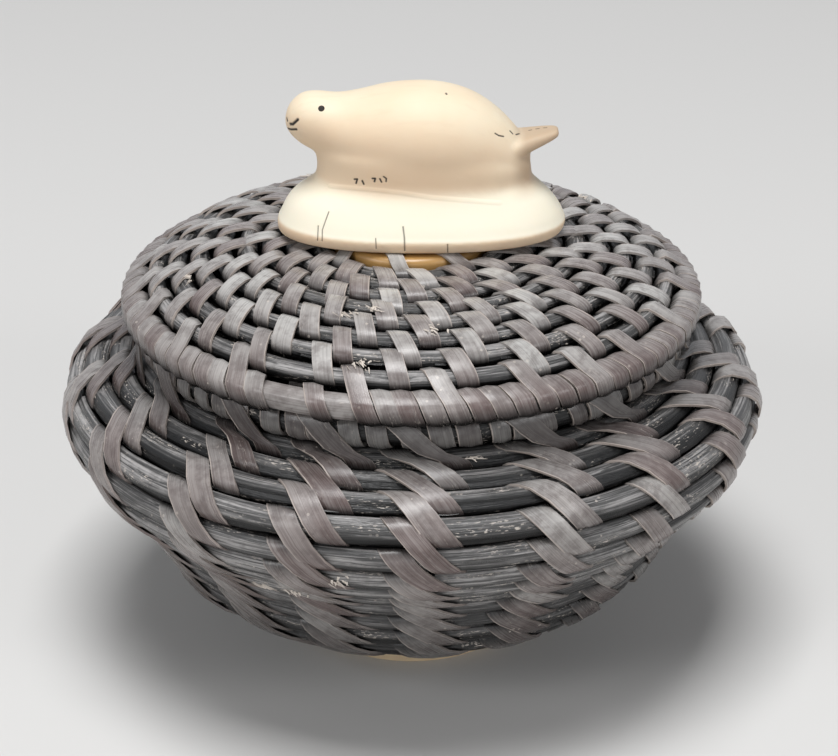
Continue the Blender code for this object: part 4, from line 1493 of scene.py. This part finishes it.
class BASKET_OT_body_splints(bpy.types.Operator):
    """Lash the body with shaved splints"""

    bl_idname = "basket.body_splints"
    bl_label = "Body splints"

    def execute(self, context):
        sizes = context.scene.basket_baleen
        outer, coil = body_stitches(sizes), BODY_COIL
        lay_strips("body_stitches", coil, outer, sizes, nodes=["body_lashing"])
        lay_strips("body_inner_stitches", coil, body_inner_stitches(sizes), sizes)
        lay_strips("body_rim_wraps", coil, body_wraps(), sizes)
        lay_frays("body_frays", coil, BODY_FRAYED, sizes.body_rod_depth, sizes, 51)
        return {"FINISHED"}


class BASKET_OT_lid_splints(bpy.types.Operator):
    """Lash the lid with shaved splints and wrap its rim"""

    bl_idname = "basket.lid_splints"
    bl_label = "Lid splints"

    def execute(self, context):
        sizes = context.scene.basket_baleen
        outer, coil = lid_stitches(sizes), LID_COIL
        longs, shorts = lid_rim_wraps(sizes)
        lay_strips("lid_stitches", coil, outer, sizes, pale_edge_side=1, nodes=["lid_lashing"])
        lay_strips("lid_rim_stitches", coil, longs, sizes)
        lay_strips("lid_rim_wraps", coil, shorts, sizes)
        lay_strips("lid_inner_stitches", coil, lid_inner_stitches(sizes), sizes)
        mesh = strip_mesh("lid_seating_stitches", 20, FLANGE_STITCHES, flange_stitch_shape)
        piece(mesh.name, mesh, baleen_finish(True), "lid", "baleen_splint")
        lay_frays("lid_frays", coil, LID_FRAYED, sizes.lid_rod_depth, sizes, 52)
        return {"FINISHED"}


class BASKET_OT_discs(bpy.types.Operator):
    """Turn and drill the two starting discs, and finish the peg"""

    bl_idname = "basket.discs"
    bl_label = "Starting discs"

    def execute(self, context):
        shades = context.scene.basket_carving
        pale = ivory_finish("base_ivory", shades.base, scaled(shades.base, 0.8), 0.5)
        make_disc("base_start_disc", BASE_DISC, pale, "body", "ivory", "base_disc")
        amber = ivory_finish("amber_ivory_polished", shades.amber, shades.amber_shade, 1.0)
        make_disc("lid_start_disc", LID_DISC, amber, "lid", "amber_ivory", "lid_disc", PEG_BORE)
        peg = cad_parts["finial_peg"].data.materials
        peg.clear()
        peg.append(ivory_finish("peg_ivory", shades.cream, shades.beige, 0.5))
        return {"FINISHED"}


class BASKET_OT_carving(bpy.types.Operator):
    """Carve the seal with its foot, marks and eyes"""

    bl_idname = "basket.carving"
    bl_label = "Seal carving"

    def execute(self, context):
        shades = context.scene.basket_carving
        mesh = blended(carving_block())
        bm = opened(mesh)
        tree = BVHTree.FromBMesh(bm)
        bm.free()
        spot, normal, _, _ = tree.ray_cast(*photo_ray(*EYE_PIXEL))
        if spot is None:
            raise RuntimeError("the sight line to the near eye misses the carving")
        cut_strokes(mesh, tree)
        mesh.shade_smooth()
        carved = ivory_finish("carved_ivory", shades.cream, shades.beige, 0.15, carved=True)
        piece("seal_carving", mesh, carved, "lid", "ivory", "seal_finial")
        for node, side in (("near_eye", 1.0), ("far_eye", -1.0)):
            across = Vector((1.0, side, 1.0))
            plug_mesh = eye_mesh(f"{node}_plug", spot * across, normal * across)
            black = finish("eye_plug_black", eye_inputs)
            piece(plug_mesh.name, plug_mesh, black, "lid", "eye_inlay", node)
        return {"FINISHED"}


WORLD_STRENGTH = 0.12
BACKGROUND_STRENGTH = 0.75
BACKGROUND_COLOUR = (0.93, 0.95, 1.0, 1.0)
LAMPS = {
    "overhead": ((-0.05, -0.15, 1.0), 0.45, 9.3),
    "key": ((-0.75, -0.65, 0.6), 0.35, 3.0),
    "fill": ((0.8, -0.6, 0.5), 0.35, 2.4),
    "low": ((0.0, -1.0, 0.14), 0.5, 1.3),
}
FLOOR_RADIUS = 3.0
SENSOR_WIDTH = 36.0


def add_floor(stage):
    bm = bmesh.new()
    bmesh.ops.create_circle(bm, cap_ends=True, segments=64, radius=FLOOR_RADIUS)
    floor = placed("floor", mesh_from(bm, "floor"))
    inputs = {"Base Color": (*stage.floor_colour, 1.0), "Roughness": 0.9}
    floor.data.materials.append(finish("plain_floor", lambda tree: inputs))


def add_world(stage):
    """Even light that is brighter where the camera, reflections or transmission see it."""
    world = bpy.data.worlds.new("studio")
    world.use_nodes = True
    tree = world.node_tree
    rays = add(tree, "ShaderNodeLightPath", {}).outputs
    seen = maths(tree, "MAXIMUM", rays["Is Camera Ray"], rays["Is Glossy Ray"])
    seen = maths(tree, "MAXIMUM", seen, rays["Is Transmission Ray"])
    ambient = WORLD_STRENGTH * stage.lamp_strength
    strength = maths(tree, "MULTIPLY_ADD", seen, BACKGROUND_STRENGTH - ambient, ambient)
    plug(tree, tree.nodes["Background"], {"Color": BACKGROUND_COLOUR, "Strength": strength})
    bpy.context.scene.world = world


def add_lamp(name, place, size, power):
    """Square lamp that looks at the middle of the basket."""
    lamp = bpy.data.lights.new(name, "AREA")
    lamp.size = size
    lamp.energy = power
    made = placed(name, lamp)
    made.location = place
    made.rotation_euler = (CAMERA_TARGET - place).to_track_quat("-Z", "Y").to_euler()


def add_camera(distance):
    """Camera at the photograph's viewing angle."""
    camera = bpy.data.cameras.new("photo_camera")
    camera.sensor_width = SENSOR_WIDTH
    camera.lens = SENSOR_WIDTH * FOCAL_PIXELS / PHOTO_WIDTH
    camera.clip_start = 0.01
    camera.clip_end = 20.0
    made = placed("photo_camera", camera)
    made.location = CAMERA_TARGET + PULL * distance
    made.rotation_euler = (math.pi / 2 - CAMERA_ELEVATION, 0.0, 0.0)
    bpy.context.scene.camera = made


class BASKET_OT_stage(bpy.types.Operator):
    """Set the floor, lamps, world and camera"""

    bl_idname = "basket.stage"
    bl_label = "Stage"

    def execute(self, context):
        stage = context.scene.basket_stage
        add_floor(stage)
        add_world(stage)
        for name, (place, size, power) in LAMPS.items():
            add_lamp(name, Vector(place), size, power * stage.lamp_strength)
        add_camera(stage.camera_distance)
        context.scene.view_settings.view_transform = "Standard"
        return {"FINISHED"}


SETTINGS = {
    "basket_baleen": BaleenSettings,
    "basket_carving": CarvingSettings,
    "basket_stage": StageSettings,
}
OPERATORS = (
    BASKET_OT_stage,
    BASKET_OT_body_rods,
    BASKET_OT_lid_rods,
    BASKET_OT_body_splints,
    BASKET_OT_lid_splints,
    BASKET_OT_discs,
    BASKET_OT_carving,
)


class BASKET_PT_tools(bpy.types.Panel):
    """Lists the basket's pieces in the order that they are made"""

    bl_idname = "BASKET_PT_tools"
    bl_label = "Coiled basket"
    bl_space_type = "VIEW_3D"
    bl_region_type = "UI"
    bl_category = "Basket"

    def draw(self, context):
        for operator in OPERATORS:
            self.layout.operator(operator.bl_idname)
        for group in SETTINGS:
            settings = getattr(context.scene, group)
            column = self.layout.column(align=True)
            for name in settings.__annotations__:
                column.prop(settings, name)


CLASSES = (*SETTINGS.values(), *OPERATORS, BASKET_PT_tools)


def register():
    for made in CLASSES:
        bpy.utils.register_class(made)
    for name, settings in SETTINGS.items():
        setattr(bpy.types.Scene, name, PointerProperty(type=settings))


def unregister():
    for name in SETTINGS:
        delattr(bpy.types.Scene, name)
    for made in reversed(CLASSES):
        bpy.utils.unregister_class(made)


def main():
    register()
    for operator in OPERATORS:
        category, name = operator.bl_idname.split(".")
        getattr(getattr(bpy.ops, category), name)()


if __name__ == "__main__":
    main()
